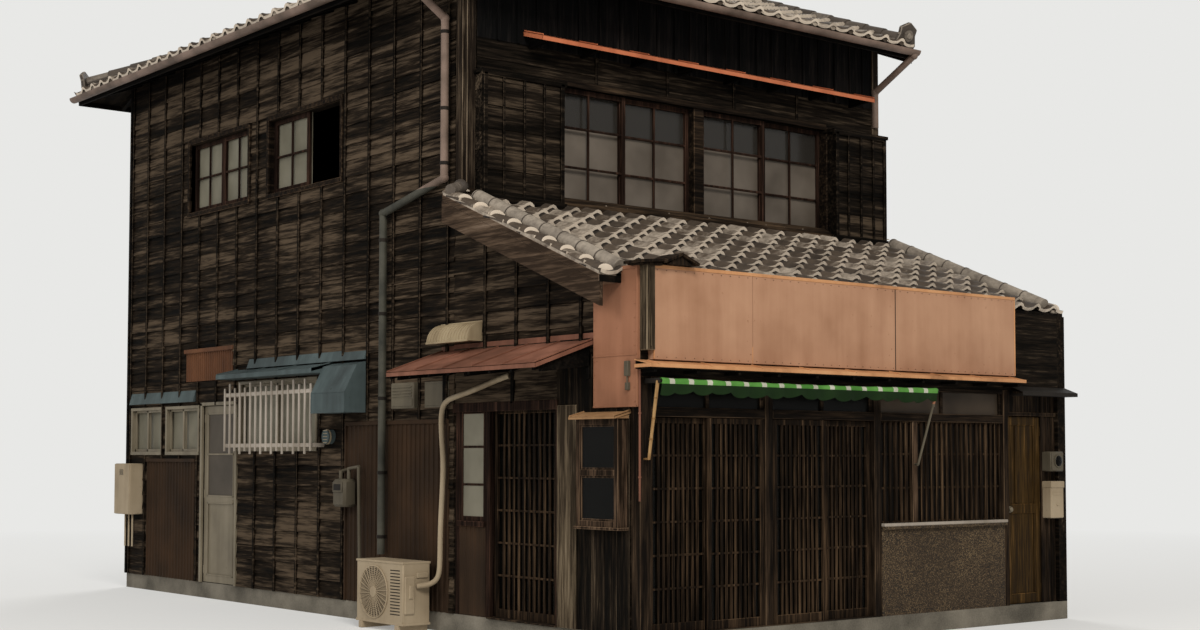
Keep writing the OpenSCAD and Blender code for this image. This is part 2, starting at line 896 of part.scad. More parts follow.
// one sash in the front, two panes wide and three high
module sash_xz(x, y, z, w, h) {
    frame_xz(x, y, z, w, sash_t, h, sash_w);
    box(x + w / 2 - muntin_w / 2, y + sash_t / 4, z + sash_w - hair, muntin_w, sash_t / 2, h - 2 * sash_w + 2 * hair);
    for (k = [1, 2])
        box(x + sash_w - hair, y + sash_t / 4, z + k * h / 3 - muntin_w / 2, w - 2 * sash_w + 2 * hair, sash_t / 2, muntin_w);
}

// one sash in the side wall
module sash_yz(x, y, z, w, h) {
    frame_yz(x, y, z, sash_t, w, h, sash_w);
    box(x + sash_t / 4, y + w / 2 - muntin_w / 2, z + sash_w - hair, sash_t / 2, muntin_w, h - 2 * sash_w + 2 * hair);
    box(x + sash_t / 4, y + sash_w - hair, z + h / 2 - muntin_w / 2, sash_t / 2, w - 2 * sash_w + 2 * hair, muntin_w);
}

// reddish wooden sashes of the upper storey
module wooden_sashes() {
    h = uwin_top_z - uwin_z;
    color([0.36, 0.22, 0.17]) {
        for (x = [uwin_x, uwin_x + half_uwin + uwin_post_w]) {
            sash_xz(x, setback + sash_t, uwin_z, half_uwin / 2 + sash_w / 2, h);
            sash_xz(x + half_uwin / 2 - sash_w / 2, setback + 2 * sash_t, uwin_z, half_uwin / 2 + sash_w / 2, h);
        }
        box(uwin_x + half_uwin, setback, uwin_z, uwin_post_w, wall_t, h);
        difference() {
            box(uwin_x + plate_out + fit_gap, setback - box_out / 2, box_z - box_plate, uwin_end_x - uwin_x - 2 * (plate_out + fit_gap), box_out / 2, box_plate);
            under_pent(spare);
        }
        sash_yz(sash_t, usw_y + usw_w / 2, usw_z, usw_w / 2, usw_h);
        sash_yz(sash_t, usw2_y, usw_z, usw2_w / 2, usw_h);
        sash_yz(sash_t, usw2_y + usw2_w / 2, usw_z, usw2_w / 2, usw_h);
    }
}

// glass of the shop front and of the upper front windows
module front_glass() {
    color([0.62, 0.66, 0.66, 0.5]) {
        box(shop_x, frame_d - glass_in, shop_z, shop_w, glass_t, door_head_z - shop_z);
        for (x = [uwin_x, uwin_x + half_uwin + uwin_post_w])
            box(x, setback + wall_t - glass_in, uwin_z, half_uwin, glass_t, uwin_top_z - uwin_z);
    }
}

// glass of the side and back windows
module side_glass() {
    color([0.62, 0.66, 0.66, 0.5]) {
        box(wall_t / 2, kwin_y, kwin_z, glass_t, kwin_w, kwin_h);
        box(wall_t / 2, bwin_y, bwin_z, glass_t, bwin_w, bwin_h);
        box(wall_t / 2, bwin2_y, bwin_z, glass_t, bwin_w, bwin_h);
        box(2 * sash_t + glass_t, usw_y + usw_w / 2, usw_z, glass_t, usw_w / 2, usw_h);
        box(2 * sash_t + glass_t, usw2_y, usw_z, glass_t, usw2_w, usw_h);
        for (z = [kwin_z, usw_z])
            box(back_win_x, house_d - wall_t / 2, z, kwin_w, glass_t, kwin_h);
    }
}

// copper hood over the upper windows
module window_hood() {
    color([0.74, 0.40, 0.26])
        along_x(hood_x, hood_end_x - hood_x, [
            [setback, hood_z],
            [setback, hood_z - hood_t - hood_fall],
            [setback - hood_out, hood_z - hood_t - hood_fall],
            [setback - hood_out, hood_z - hood_fall]
        ]);
}

// tiled pent roof over the shop
module pent_roof() {
    color([0.42, 0.38, 0.34]) {
        along_x(-pent_out, house_w + 2 * pent_out, [
            [pent_y, pent_z],
            [setback, pent_top_z],
            [setback, pent_top_z + pent_t],
            [pent_y, pent_z + pent_t]
        ]);
    }
}

// slanting boards under the ends of the pent roof
module pent_boards() {
    color([0.20, 0.18, 0.16])
        for (x = [-pent_out, house_w + pent_out - barge_t])
            along_x(x, barge_t, [
                [pent_y, pent_z - barge_h],
                [setback - fit_gap, pent_top_z - fit_gap * pitch - barge_h],
                [setback - fit_gap, pent_top_z - fit_gap * pitch],
                [pent_y, pent_z]
            ]);
}

// a block whose upper faces lie dz over the underside of the main roof, grown by k beyond the eaves
module roof_block(dz, k) {
    intersection() {
        along_x(roof_x0 - k - hair, roof_x1 - roof_x0 + 2 * k + 2 * hair, [
            [roof_y0 - k, eave_z - (k + spare) * pitch],
            [roof_y1 + k, eave_z - (k + spare) * pitch],
            [roof_y1 + k, eave_z + dz - k * pitch],
            [ridge_y, ridge_z + dz],
            [roof_y0 - k, eave_z + dz - k * pitch]
        ]);
        along_y(roof_y0 - k - hair, roof_y1 - roof_y0 + 2 * k + 2 * hair, [
            [roof_x0 - k, eave_z - deep * pitch],
            [roof_x1 + k, eave_z - deep * pitch],
            [roof_x1 + k, eave_z + dz + (roof_x1 - roof_x0 + k) * pitch],
            [roof_x0 - k, eave_z + dz - k * pitch]
        ]);
    }
}

// main roof, hipped on the left and plain at the party wall
module main_roof() {
    color([0.40, 0.37, 0.33])
        difference() {
            roof_block(roof_t, 0);
            roof_block(0, 2 * spare);
        }
}

// ridge down a verge of the party wall, with its flat end tile
module verge_ridge(z) {
    end = roof_half - ridge_end;
    along_x(roof_x1 - ridge_w, ridge_w, [
        [ridge_start, z - ridge_h / 2 - ridge_start * pitch],
        [end, z - ridge_h / 2 - end * pitch],
        [end, z + ridge_h / 2 - end * pitch],
        [ridge_start, z + ridge_h / 2 - ridge_start * pitch]
    ]);
    box(roof_x1 - ridge_w - end_tile_out, end, z - end * pitch - ridge_h, ridge_w + end_tile_out, end_tile_t, 1.5 * ridge_h + end_tile_out);
}

// ridge down a hip, with its flat end tile, from the origin along X
module hip_ridge(length) {
    translate([ridge_start, -ridge_w / 2, -ridge_h / 2]) cube([length - ridge_start, ridge_w, ridge_h]);
    translate([length, -ridge_w / 2 - end_tile_out, -ridge_h])
        cube([end_tile_t, ridge_w + 2 * end_tile_out, 1.5 * ridge_h + end_tile_out]);
}

// a roll of round tiles up the pent roof
module verge_roll(x) {
    translate([x, pent_y + ridge_end, pent_z + pent_t + ridge_end * pitch])
        rotate([atan(pitch) - 90, 0, 0])
            cylinder(r = verge_r, h = (pent_len - box_out - plate_out - 2 * ridge_end) / cos(atan(pitch)), $fn = 24);
}

// ridges of the main roof along the top, down both hips and down both verges, and the rolls of the pent roof
module roof_ridges() {
    z = ridge_z + roof_t;
    hip_x = roof_x0 + roof_half;
    slope = atan(pitch / sqrt(2));
    color([0.38, 0.35, 0.32]) {
        difference() {
            union() {
                box(hip_x, ridge_y - ridge_w / 2, z - ridge_h / 2, roof_x1 - hip_x, ridge_w, ridge_h * 1.5);
                for (s = [-1, 1])
                    translate([hip_x, ridge_y, z])
                        rotate([0, 0, s * 135])
                            rotate([0, slope, 0])
                                hip_ridge(roof_half * sqrt(2) / cos(slope) - 2 * ridge_end);
                for (s = [0, 1])
                    translate([0, ridge_y, 0])
                        mirror([0, s, 0]) verge_ridge(z);
            }
            roof_block(roof_t, spare);
        }
        difference() {
            union() {
                verge_roll(-pent_out + verge_off);
                verge_roll(house_w + pent_out - verge_off);
            }
            under_pent(spare);
        }
    }
}

// one rafter as a profile running out from the wall at a to the eave at b
function rafter_profile(a, b) = [
    [b, eave_z + rafter_start * pitch - rafter_h],
    [a, wall_top_z - rafter_h],
    [a, wall_top_z],
    [b, eave_z + rafter_start * pitch]
];

// rafters under the front, left and back eaves
module eave_rafters() {
    n_front = floor((house_w - 2 * rafter_w) / rafter_gap);
    n_side = floor((house_d - setback - 2 * rafter_w) / rafter_gap);
    color([0.18, 0.15, 0.13]) {
        for (i = [0 : n_front]) {
            along_x(rafter_w + i * rafter_gap, rafter_w, rafter_profile(setback, roof_y0 + rafter_start));
            along_x(rafter_w + i * rafter_gap, rafter_w, rafter_profile(house_d, roof_y1 - rafter_start));
        }
        for (i = [0 : n_side])
            along_y(setback + rafter_w + i * rafter_gap, rafter_w, rafter_profile(0, roof_x0 + rafter_start));
    }
}

// a half-round gutter along Y from the origin, open upward
module gutter(length) {
    rotate([-90, 0, 0])
        linear_extrude(length)
            difference() {
                circle(r = gutter_r, $fn = 24);
                circle(r = gutter_r - gutter_t, $fn = 24);
                translate([-gutter_r - hair, -gutter_r - hair]) square([2 * gutter_r + 2 * hair, gutter_r + hair]);
            }
}

// a round pipe between two points, with a wider socket at its start
module pipe(a, b, r) {
    d = b - a;
    translate(a) sphere(r = r + socket, $fn = 20);
    translate(a)
        rotate([0, acos(d[2] / norm(d)), atan2(d[1], d[0])])
            cylinder(r = r, h = norm(d), $fn = 20);
}

// gutters along the eaves, the bent downpipe of the side wall and the outlet at the right end
module gutters() {
    rim_z = eave_z + gutter_up;
    low_y = pipe_y + pipe_shift;
    low_z = pipe_bend_z - pipe_drop;
    out_x = roof_x1 - gutter_r;
    color([0.55, 0.47, 0.43]) {
        translate([roof_x0 - gutter_r, roof_y0 + gutter_end, rim_z]) gutter(roof_y1 - roof_y0 - 2 * gutter_end);
        translate([roof_x0 + gutter_end, roof_y0 - gutter_r, rim_z])
            rotate([0, 0, -90]) gutter(roof_x1 - roof_x0 - gutter_end);
        pipe([roof_x0 - gutter_r, pipe_y, rim_z - gutter_r], [pipe_x, pipe_y, rim_z - neck_h], pipe_r);
        pipe([pipe_x, pipe_y, rim_z - neck_h], [pipe_x, pipe_y, pipe_bend_z], pipe_r);
        pipe([pipe_x, pipe_y, pipe_bend_z], [pipe_x, low_y, low_z], pipe_r);
        pipe([pipe_x, low_y, low_z], [pipe_x, low_y, pipe_end_z], pipe_r);
        pipe([out_x, roof_y0 - gutter_r, rim_z - gutter_r], [out_x - gutter_r, setback - pipe_r - socket - fit_gap, rim_z - neck_h], pipe_r);
        pipe([out_x - gutter_r, setback - pipe_r - socket - fit_gap, rim_z - neck_h], [out_x - gutter_r, setback - pipe_r - socket - fit_gap, box_top_z + 2 * box_plate], pipe_r);
    }
}

// copper lean-to over the side door, on brackets
module side_canopy() {
    reach = canopy_out - bracket_in;
    color([0.62, 0.44, 0.38]) {
        along_y(canopy_y, canopy_l, [
            [0, canopy_z - canopy_t],
            [0, canopy_z],
            [-canopy_out, canopy_z - canopy_fall],
            [-canopy_out, canopy_z - canopy_fall - canopy_t]
        ]);
        for (i = [0 : bracket_n - 1])
            along_y(canopy_y + bracket_w + i * (canopy_l - 3 * bracket_w) / (bracket_n - 1), bracket_w, [
                [0, canopy_z - canopy_t + hair],
                [-reach, canopy_z - canopy_t - canopy_fall * reach / canopy_out + hair],
                [0, canopy_z - canopy_t - bracket_h]
            ]);
    }
}

// posts, rail and fixed window round the side door
module side_frame() {
    color([0.26, 0.20, 0.16]) {
        box(0, sdoor_y + sdoor_w, base_h, thin_wall_t, spost_w, sdoor_z - base_h);
        box(0, side_end_y - spost_w, base_h, thin_wall_t, spost_w, sdoor_z - base_h);
        box(0, swin_y - hair, base_h, thin_wall_t / 2, swin_w + 2 * hair, swin_z - base_h);
        frame_yz(0, swin_y - hair, swin_z - hair, thin_wall_t / 2, swin_w + 2 * hair, sdoor_z - swin_z, stile_w);
        for (k = [1, 2])
            box(0, swin_y + stile_w - 2 * hair, swin_z + k * (sdoor_z - swin_z) / 3 - muntin_w / 2, thin_wall_t / 2, swin_w - 2 * stile_w + 4 * hair, muntin_w);
        box(0, swin_y + stile_w - 2 * hair, swin_z + stile_w - 2 * hair, glass_t, swin_w - 2 * stile_w + 4 * hair, sdoor_z - swin_z - 2 * stile_w + 4 * hair);
    }
}

// sliding lattice door of the side entrance
module side_door() {
    y = sdoor_y - sleaf_lap;
    h = sdoor_z - base_h - 2 * door_play;
    inner_w = sleaf_w - 2 * stile_w;
    lattice_h = h - kick_h - rail_h;
    step = (inner_w - bar_w) / (side_bar_n + 1);
    color([0.33, 0.24, 0.17]) {
        difference() {
            box(sleaf_x, y, door_z0, door_t, sleaf_w, h);
            box(sleaf_x - hair, y + stile_w, door_z0 + kick_h, door_t + 2 * hair, inner_w, lattice_h);
        }
        for (i = [1 : side_bar_n])
            box(sleaf_x + bar_d / 2, y + stile_w + i * step, door_z0 + kick_h - hair, bar_d, bar_w, lattice_h + 2 * hair);
        for (i = [1 : thin_rail_n])
            box(sleaf_x + bar_d / 4, y + stile_w - hair, door_z0 + kick_h + i * lattice_h / (thin_rail_n + 1), bar_d, inner_w + 2 * hair, thin_rail_h);
    }
}

// glazed showcase on the side wall under a small sheet roof
module showcase() {
    pane_h = (case_h - 3 * stile_w) / 2;
    color([0.42, 0.36, 0.30]) {
        difference() {
            box(-case_d, case_y, case_z, case_d, case_w, case_h);
            for (z = [case_z + stile_w, case_z + 2 * stile_w + pane_h])
                box(-case_d - hair, case_y + stile_w, z, case_d - case_back, case_w - 2 * stile_w, pane_h);
        }
        along_y(case_y - case_eave / 2, case_w + case_eave, [
            [0, case_z + case_h - hair],
            [0, case_z + case_h + case_roof_h],
            [-case_d - case_eave, case_z + case_h + case_roof_h / 3],
            [-case_d - case_eave, case_z + case_h - hair]
        ]);
    }
}

// metal frame of a side window, with or without an upright in the middle
module metal_window(y, z, w, h, mid) {
    depth = wall_t / 2 + metal_out;
    frame_yz(-metal_out, y, z, depth, w, h, metal_w);
    if (mid)
        box(-metal_out / 2, y + (w - metal_w) / 2, z + metal_w - hair, depth - metal_out / 2, metal_w, h - 2 * metal_w + 2 * hair);
}

// metal window frames, with the projecting grille of the kitchen window
module metal_windows() {
    grille_w = kwin_w + grille_over + grille_back;
    grille_y = kwin_y - grille_over;
    color([0.72, 0.70, 0.66]) {
        metal_window(kwin_y, kwin_z, kwin_w, kwin_h, true);
        metal_window(bwin_y, bwin_z, bwin_w, bwin_h, false);
        metal_window(bwin2_y, bwin_z, bwin_w, bwin_h, false);
        for (z = [kwin_z, usw_z])
            frame_xz(back_win_x, house_d - wall_t / 2 + glass_t, z, kwin_w, wall_t / 2 + metal_out - glass_t, kwin_h, metal_w);
        for (i = [0 : grille_n - 1])
            box(-grille_out, grille_y + i * (grille_w - grille_bar_w) / (grille_n - 1), kwin_z, metal_out, grille_bar_w, kwin_h - metal_w);
        for (z = [kwin_z + metal_w, kwin_z + kwin_h - 4 * metal_w]) {
            box(-grille_out + metal_out / 2, grille_y, z, metal_out, grille_w, metal_w);
            for (y = [grille_y, grille_y + grille_w - grille_bar_w])
                box(-grille_out + metal_out / 2, y, z, grille_out - metal_out / 2, grille_bar_w, metal_w);
        }
    }
}

// a sloping strip of sheet on the side wall
module flashing(y, w, z, h) {
    along_y(y, w, [
        [0, z],
        [0, z + h],
        [-rib_t, z + h],
        [-flash_out, z]
    ]);
}

// tin canopy, flashings and cooker hood cover round the kitchen window, and the round vent cap
module tin_covers() {
    top = kwin_z + kwin_h + metal_out;
    can_y = kwin_y - kcan_over;
    hood_y = can_y - hood_cover_w - fit_gap;
    color([0.45, 0.50, 0.55]) {
        along_y(can_y, kwin_w + kcan_over + bdoor_gap, [
            [0, top],
            [0, top + kcan_h],
            [-kcan_out, top + kcan_edge],
            [-kcan_out, top]
        ]);
        flashing(hood_y, flash_w, top + kcan_h + fit_gap, flash_h);
        flashing(bwin_y + rib_off, house_d - corner_w - bwin_y - rib_off, flash2_z, flash2_h);
        along_y(hood_y, hood_cover_w, [
            [0, hood_cover_z],
            [0, hood_cover_z + hood_cover_h],
            [-hood_cover_d / 2, hood_cover_z + hood_cover_h - hood_cover_top],
            [-hood_cover_d, hood_cover_z + hood_cover_lean],
            [-hood_cover_d, hood_cover_z]
        ]);
        translate([-cap_out, kwin_y - grille_over - 2 * cap_r, kwin_z + 2 * cap_r])
            rotate([0, 90, 0]) cylinder(r = cap_r, h = cap_out, $fn = 24);
    }
}

// ribbed curved hood on the wall over the side canopy
module lamp_hood() {
    color([0.80, 0.74, 0.55])
        intersection() {
            translate([0, canopy_y + canopy_l - lamp_l, canopy_z + lamp_up])
                rotate([-90, 0, 0]) cylinder(r = lamp_r, h = lamp_l, $fn = 32);
            box(-2 * lamp_r, canopy_y, canopy_z + lamp_up, 2 * lamp_r, 2 * canopy_l, 2 * lamp_r);
        }
}

// the three knuckles of a hinge, around the origin and upward
module knuckles(h) {
    for (z = [hinge_l, (h - hinge_l) / 2, h - 2 * hinge_l])
        translate([0, 0, z]) cylinder(r = hinge_r, h = hinge_l, $fn = 16);
}

// hinged metal back door with a glazed upper and a plain lower panel
module back_door() {
    w = bdoor_w - 2 * leaf_play;
    h = bdoor_z - base_h - 2 * leaf_play;
    inset = 2 * metal_w;
    pane_w = w - 2 * inset;
    y = bdoor_y + leaf_play;
    z = base_h + leaf_play;
    color([0.70, 0.68, 0.62]) {
        difference() {
            box(leaf_play, y, z, leaf_t, w, h);
            box(leaf_play - hair, y + inset, z + inset, leaf_cut + hair, pane_w, leaf_low_h);
            box(leaf_play - hair, y + inset, z + 2 * inset + leaf_low_h, leaf_cut + hair, pane_w, h - 3 * inset - leaf_low_h);
        }
        translate([leaf_play, y + w - hinge_in, z]) knuckles(h);
        translate([leaf_play - knob_out, y + metal_w, knob_z]) rotate([0, 90, 0]) cylinder(r = knob_r, h = knob_out + hair, $fn = 20);
    }
}

// ribbed metal sheet on the side wall with a cap strip
module ribbed_sheet(y, w, z, h) {
    n = floor(w / rib_gap);
    box(-rib_t / 2, y, z, rib_t / 2, w, h);
    for (i = [0 : n - 1])
        box(-rib_t, y + (i + 0.25) * rib_gap, z, rib_t / 2 + hair, rib_gap / 2, h);
    box(-2 * rib_t, y, z + h - hair, 2 * rib_t, w, cap_strip_h);
}

module ribbed_sheets() {
    back_y = bwin_y + rib_off;
    color([0.30, 0.22, 0.19]) {
        ribbed_sheet(side_end_y + rib_off, rib_w, base_h, rib_z - base_h);
        ribbed_sheet(back_y, house_d - heater_off - heater_w - rib_off - back_y, base_h, bwin_z - metal_w - cap_strip_h - base_h);
        ribbed_sheet(bdoor_y + rib_off, patch_w, patch_z - patch_h, patch_h);
    }
}

// outdoor unit of an air conditioner on two feet, and its wrapped pipes on the wall
module ac_unit() {
    x = -ac_gap - ac_d;
    duct_x = -2 * rib_t - fit_gap - duct_r;
    duct_y = ac_y - duct_off;
    start_y = sdoor_y + duct_start;
    color([0.74, 0.72, 0.67]) {
        difference() {
            box(x, ac_y, ac_foot, ac_d, ac_w, ac_h);
            translate([x - hair, ac_y + fan_y, ac_foot + ac_h / 2])
                rotate([0, 90, 0]) cylinder(r = fan_r, h = fan_d + hair, $fn = 40);
        }
        for (y = [ac_y + foot_w, ac_y + ac_w - 2 * foot_w])
            box(x - foot_w / 4, y, 0, ac_d + foot_w / 2, foot_w, ac_foot + hair);
        pipe([duct_x, start_y, duct_top_z], [duct_x, duct_y, duct_bend_z], duct_r);
        pipe([duct_x, duct_y, duct_bend_z], [duct_x, duct_y, duct_z], duct_r);
        pipe([duct_x, duct_y, duct_z], [x + ac_d / 2, ac_y + hair, duct_z - duct_r], duct_r);
    }
}

// water heater, gas meter and vent boxes of the side, meter box and mailbox of the front
module wall_boxes() {
    vent_y = side_end_y + rib_off;
    color([0.72, 0.70, 0.64]) {
        box(-heater_d, house_d - heater_off - heater_w, heater_z, heater_d, heater_w, heater_h);
        box(-meter_d, kwin_y - meter_off, meter_z, meter_d - rib_t, meter_w, meter_h);
        box(-vent_d, vent_y, vent_z, vent_d, vent_w, vent_h);
        box(-vent2_d, vent_y + vent_w + vent_gap, vent_z, vent2_d, vent_w, vent_h);
        for (b = [[mail_z, mail_h], [dial_z, dial_h]])
            box(party_x - (panel_w + post_box_w) / 2, recess_d - post_box_d, b[0], post_box_w, post_box_d, b[1]);
    }
}

// fixed panel and head of the end door, and the small ledge over it
module end_frame() {
    color([0.34, 0.26, 0.20]) {
        box(party_x - panel_w, recess_d, base_h, panel_w, panel_t, transom_z - base_h);
        box(end_x, recess_d, edoor_z, end_bay_w - panel_w + hair, panel_t, transom_z - edoor_z);
        along_x(sign_end_x, party_x + wall_t - sign_end_x, [
            [-end_ledge_out, transom_z - transom_rail_h],
            [0, transom_z - transom_rail_h],
            [0, transom_z + transom_rail_h],
            [-end_ledge_out, transom_z]
        ]);
    }
}

// narrow hinged door at the right end
module end_door() {
    w = leaf_x - end_x - leaf_play;
    h = edoor_z - base_h - 2 * leaf_play;
    x = end_x + leaf_play;
    y = recess_d + leaf_play;
    z = base_h + leaf_play;
    color([0.52, 0.40, 0.24]) {
        difference() {
            box(x, y, z, w, leaf_t, h);
            box(x + 2 * stile_w, y - hair, z + stile_w, w - 3 * stile_w, leaf_cut + hair, leaf_low_h);
            box(x + 2 * stile_w, y - hair, z + 2 * stile_w + leaf_low_h, w - 3 * stile_w, leaf_cut + hair, h - 3 * stile_w - leaf_low_h);
        }
        translate([x + w - hinge_in, y, z]) knuckles(h);
        translate([x + stile_w, y - knob_out, knob_z]) rotate([-90, 0, 0]) cylinder(r = knob_r, h = knob_out + hair, $fn = 20);
    }
}

foundation();
upper_floor();
front_posts();
front_rails();
wainscot();
shop_lattice();
front_door_1();
front_door_2();
front_door_3();
front_door_4();
sign_board();
sign_post();
sign_ledge();
awning();
wall_heads();
left_wall_lower();
gable_walls();
left_wall_upper();
party_wall();
back_wall();
upper_front_wall();
shutter_boxes();
wooden_sashes();
front_glass();
side_glass();
window_hood();
pent_roof();
pent_boards();
main_roof();
roof_ridges();
eave_rafters();
gutters();
side_canopy();
side_frame();
side_door();
showcase();
metal_windows();
tin_covers();
lamp_hood();
back_door();
ribbed_sheets();
ac_unit();
wall_boxes();
end_frame();
end_door();
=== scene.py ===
# %% [markdown]
# # A timber townhouse with a shop front
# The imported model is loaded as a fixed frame: its walls, doors and roofs have their real size
# and place. This lesson dresses them with boards, tiles, sheet metal and cloth, in metres.

# %% Load the frame
import math
import random

import bmesh
import bpy
from mathutils import Matrix, Vector


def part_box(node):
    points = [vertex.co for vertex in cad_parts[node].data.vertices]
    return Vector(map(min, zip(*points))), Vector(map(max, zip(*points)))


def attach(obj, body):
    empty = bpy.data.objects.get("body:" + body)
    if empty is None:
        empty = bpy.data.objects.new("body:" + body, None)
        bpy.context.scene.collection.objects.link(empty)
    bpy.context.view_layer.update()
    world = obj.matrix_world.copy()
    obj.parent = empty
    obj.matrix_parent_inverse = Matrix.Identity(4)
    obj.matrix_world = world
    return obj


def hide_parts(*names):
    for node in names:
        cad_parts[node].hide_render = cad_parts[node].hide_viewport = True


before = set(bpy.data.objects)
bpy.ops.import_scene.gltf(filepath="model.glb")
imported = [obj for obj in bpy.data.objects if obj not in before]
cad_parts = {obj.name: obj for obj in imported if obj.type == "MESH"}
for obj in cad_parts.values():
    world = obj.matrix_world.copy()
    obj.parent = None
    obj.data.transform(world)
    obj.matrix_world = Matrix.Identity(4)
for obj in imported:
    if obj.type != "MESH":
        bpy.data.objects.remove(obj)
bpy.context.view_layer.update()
scene = bpy.context.scene
chance = random.Random(7)

# %% [markdown]
# The camera stands on the street corner, at eye level, and looks up a little. The vertical
# shift keeps the walls upright without tilting the camera further.

# %% Camera
eye = bpy.data.cameras.new("street_view")
eye.lens = 52.03
eye.sensor_width = 36.0
eye.shift_y = 0.0468
eye.clip_end = 200.0
camera = bpy.data.objects.new("street_view", eye)
camera.location = (-8.768, -10.329, 1.571)
camera.rotation_euler = (math.radians(92.809), math.radians(-0.054), math.radians(-39.003))
scene.collection.objects.link(camera)
scene.camera = camera

# %% [markdown]
# A finish is a material made of nodes. Sock wraps one socket, so that a sum or a product in
# Python adds the Math node it stands for. Finish.node makes any other node in one line: its
# type, the values or links of its sockets, and its settings.

# %% Sockets and finishes
class Sock:
    def __init__(self, finish, socket):
        self.finish = finish
        self.socket = socket

    def maths(self, operation, a, b):
        return self.finish.node("ShaderNodeMath", {0: a, 1: b}, operation=operation)

    def __add__(self, other):
        return self.maths("ADD", self, other)

    def __sub__(self, other):
        return self.maths("SUBTRACT", self, other)

    def __rsub__(self, other):
        return self.maths("SUBTRACT", other, self)

    def __mul__(self, other):
        return self.maths("MULTIPLY", self, other)

    def __gt__(self, other):
        return self.maths("GREATER_THAN", self, other)


class Finish:
    def __init__(self, name, **constants):
        self.material = bpy.data.materials.new(name)
        self.material.use_nodes = True
        self.tree = self.material.node_tree
        self.shader = self.tree.nodes["Principled BSDF"]
        for socket, value in constants.items():
            self.shader.inputs[socket.replace("_", " ")].default_value = value

    def node(self, kind, inputs=None, out=0, stops=None, **settings):
        made = self.tree.nodes.new(kind)
        for key, value in settings.items():
            setattr(made, key, value)
        if stops:
            ramp = made.color_ramp
            while len(ramp.elements) < len(stops):
                ramp.elements.new(0.5)
            for element, (place, colour) in zip(ramp.elements, stops):
                element.position = place
                element.color = (*colour, 1.0)
        for key, value in (inputs or {}).items():
            self.give(made.inputs[key], value)
        return Sock(self, made.outputs[out])

    def give(self, socket, value):
        if isinstance(value, Sock):
            self.tree.links.new(value.socket, socket)
        elif isinstance(value, tuple) and socket.type == "RGBA":
            socket.default_value = (*value[:3], 1.0)
        else:
            socket.default_value = value

    def place(self, scale=(1, 1, 1)):
        at = self.node("ShaderNodeTexCoord", out="Object")
        return self.node("ShaderNodeMapping", {"Vector": at, "Scale": scale})

    def noise(self, scale, detail=4.0, at=None, rough=0.55):
        inputs = {"Vector": at or self.place(), "Scale": scale, "Detail": detail, "Roughness": rough}
        return self.node("ShaderNodeTexNoise", inputs)

    def cells(self, scale, out="Distance"):
        return self.node("ShaderNodeTexVoronoi", {"Vector": self.place(), "Scale": scale}, out=out)

    def ramp(self, value, *stops):
        return self.node("ShaderNodeValToRGB", {"Fac": value}, stops=stops)

    def mix(self, amount, a, b):
        return self.node("ShaderNodeMix", {0: amount, 6: a, 7: b}, out=2, data_type="RGBA")

    def tone(self):
        return self.node("ShaderNodeAttribute", out="Fac", attribute_name="tone")

    def axis(self, letter):
        at = self.node("ShaderNodeTexCoord", out="Object")
        return self.node("ShaderNodeSeparateXYZ", {0: at}, out=letter)

    def shade(self, colour, rough=None, bump=None, strength=0.3, depth=0.01, metal=None, alpha=None):
        given = {"Base Color": colour, "Roughness": rough, "Metallic": metal, "Alpha": alpha}
        for name, value in given.items():
            if value is not None:
                self.give(self.shader.inputs[name], value)
        if bump is not None:
            inputs = {"Height": bump, "Strength": strength, "Distance": depth}
            self.give(self.shader.inputs["Normal"], self.node("ShaderNodeBump", inputs, out="Normal"))
        return self


print("one class for sockets, one for finishes")

# %% [markdown]
# Every new piece goes through the same steps: bmesh makes the shape in place, each closed
# solid in it carries a random tone for its colour, and the piece rides on its body. A whole
# piece replaces the part of the frame whose slot it takes.

# %% Making pieces
def start():
    bm = bmesh.new()
    bm.faces.layers.float.new("tone")
    return bm


def tint(bm, faces, value=None):
    layer = bm.faces.layers.float["tone"]
    value = chance.random() if value is None else value
    for face in faces:
        face[layer] = value


def soften(bm, faces, soft):
    edges = list({e for f in faces for e in f.edges})
    bevelled = bmesh.ops.bevel(
        bm, geom=edges, offset=soft, affect="EDGES", segments=1, profile=0.5, material=-1)
    return set(bevelled["faces"]) | {f for f in faces if f.is_valid}


def bar(bm, low, high, soft=0.0, tone=None, turn=None):
    low, high = Vector(low), Vector(high)
    shape = Matrix.Translation((low + high) / 2) @ Matrix.Diagonal((*(high - low), 1.0))
    made = bmesh.ops.create_cube(bm, size=1.0, matrix=turn @ shape if turn else shape)["verts"]
    faces = {f for v in made for f in v.link_faces}
    tint(bm, soften(bm, faces, soft) if soft else faces, tone)


def tube(bm, a, b, radius, sides=12, tone=None, end=None):
    a, b = Vector(a), Vector(b)
    run = b - a
    turn = run.to_track_quat("Z", "Y").to_matrix().to_4x4()
    made = bmesh.ops.create_cone(
        bm, cap_ends=True, cap_tris=False, segments=sides, radius1=radius,
        radius2=radius if end is None else end, depth=run.length,
        matrix=Matrix.Translation((a + b) / 2) @ turn)["verts"]
    tint(bm, {f for v in made for f in v.link_faces}, tone)
    return made


def prism(bm, points, run, tone=None, soft=0.0):
    corners = [bm.verts.new(p) for p in points]
    face = bm.faces.new(corners)
    pushed = bmesh.ops.extrude_face_region(bm, geom=[face])["geom"]
    moved = [v for v in pushed if isinstance(v, bmesh.types.BMVert)]
    bmesh.ops.translate(bm, verts=moved, vec=run)
    made = {f for v in corners + moved for f in v.link_faces}
    if soft:
        made = soften(bm, made, soft)
    tint(bm, made, tone)
    return made


def along_x(bm, x, outline, run, tone=None, soft=0.0):
    prism(bm, [(x, y, z) for y, z in outline], (run, 0, 0), tone, soft)


def along_y(bm, y, outline, run, tone=None, soft=0.0):
    prism(bm, [(x, y, z) for x, z in outline], (0, run, 0), tone, soft)


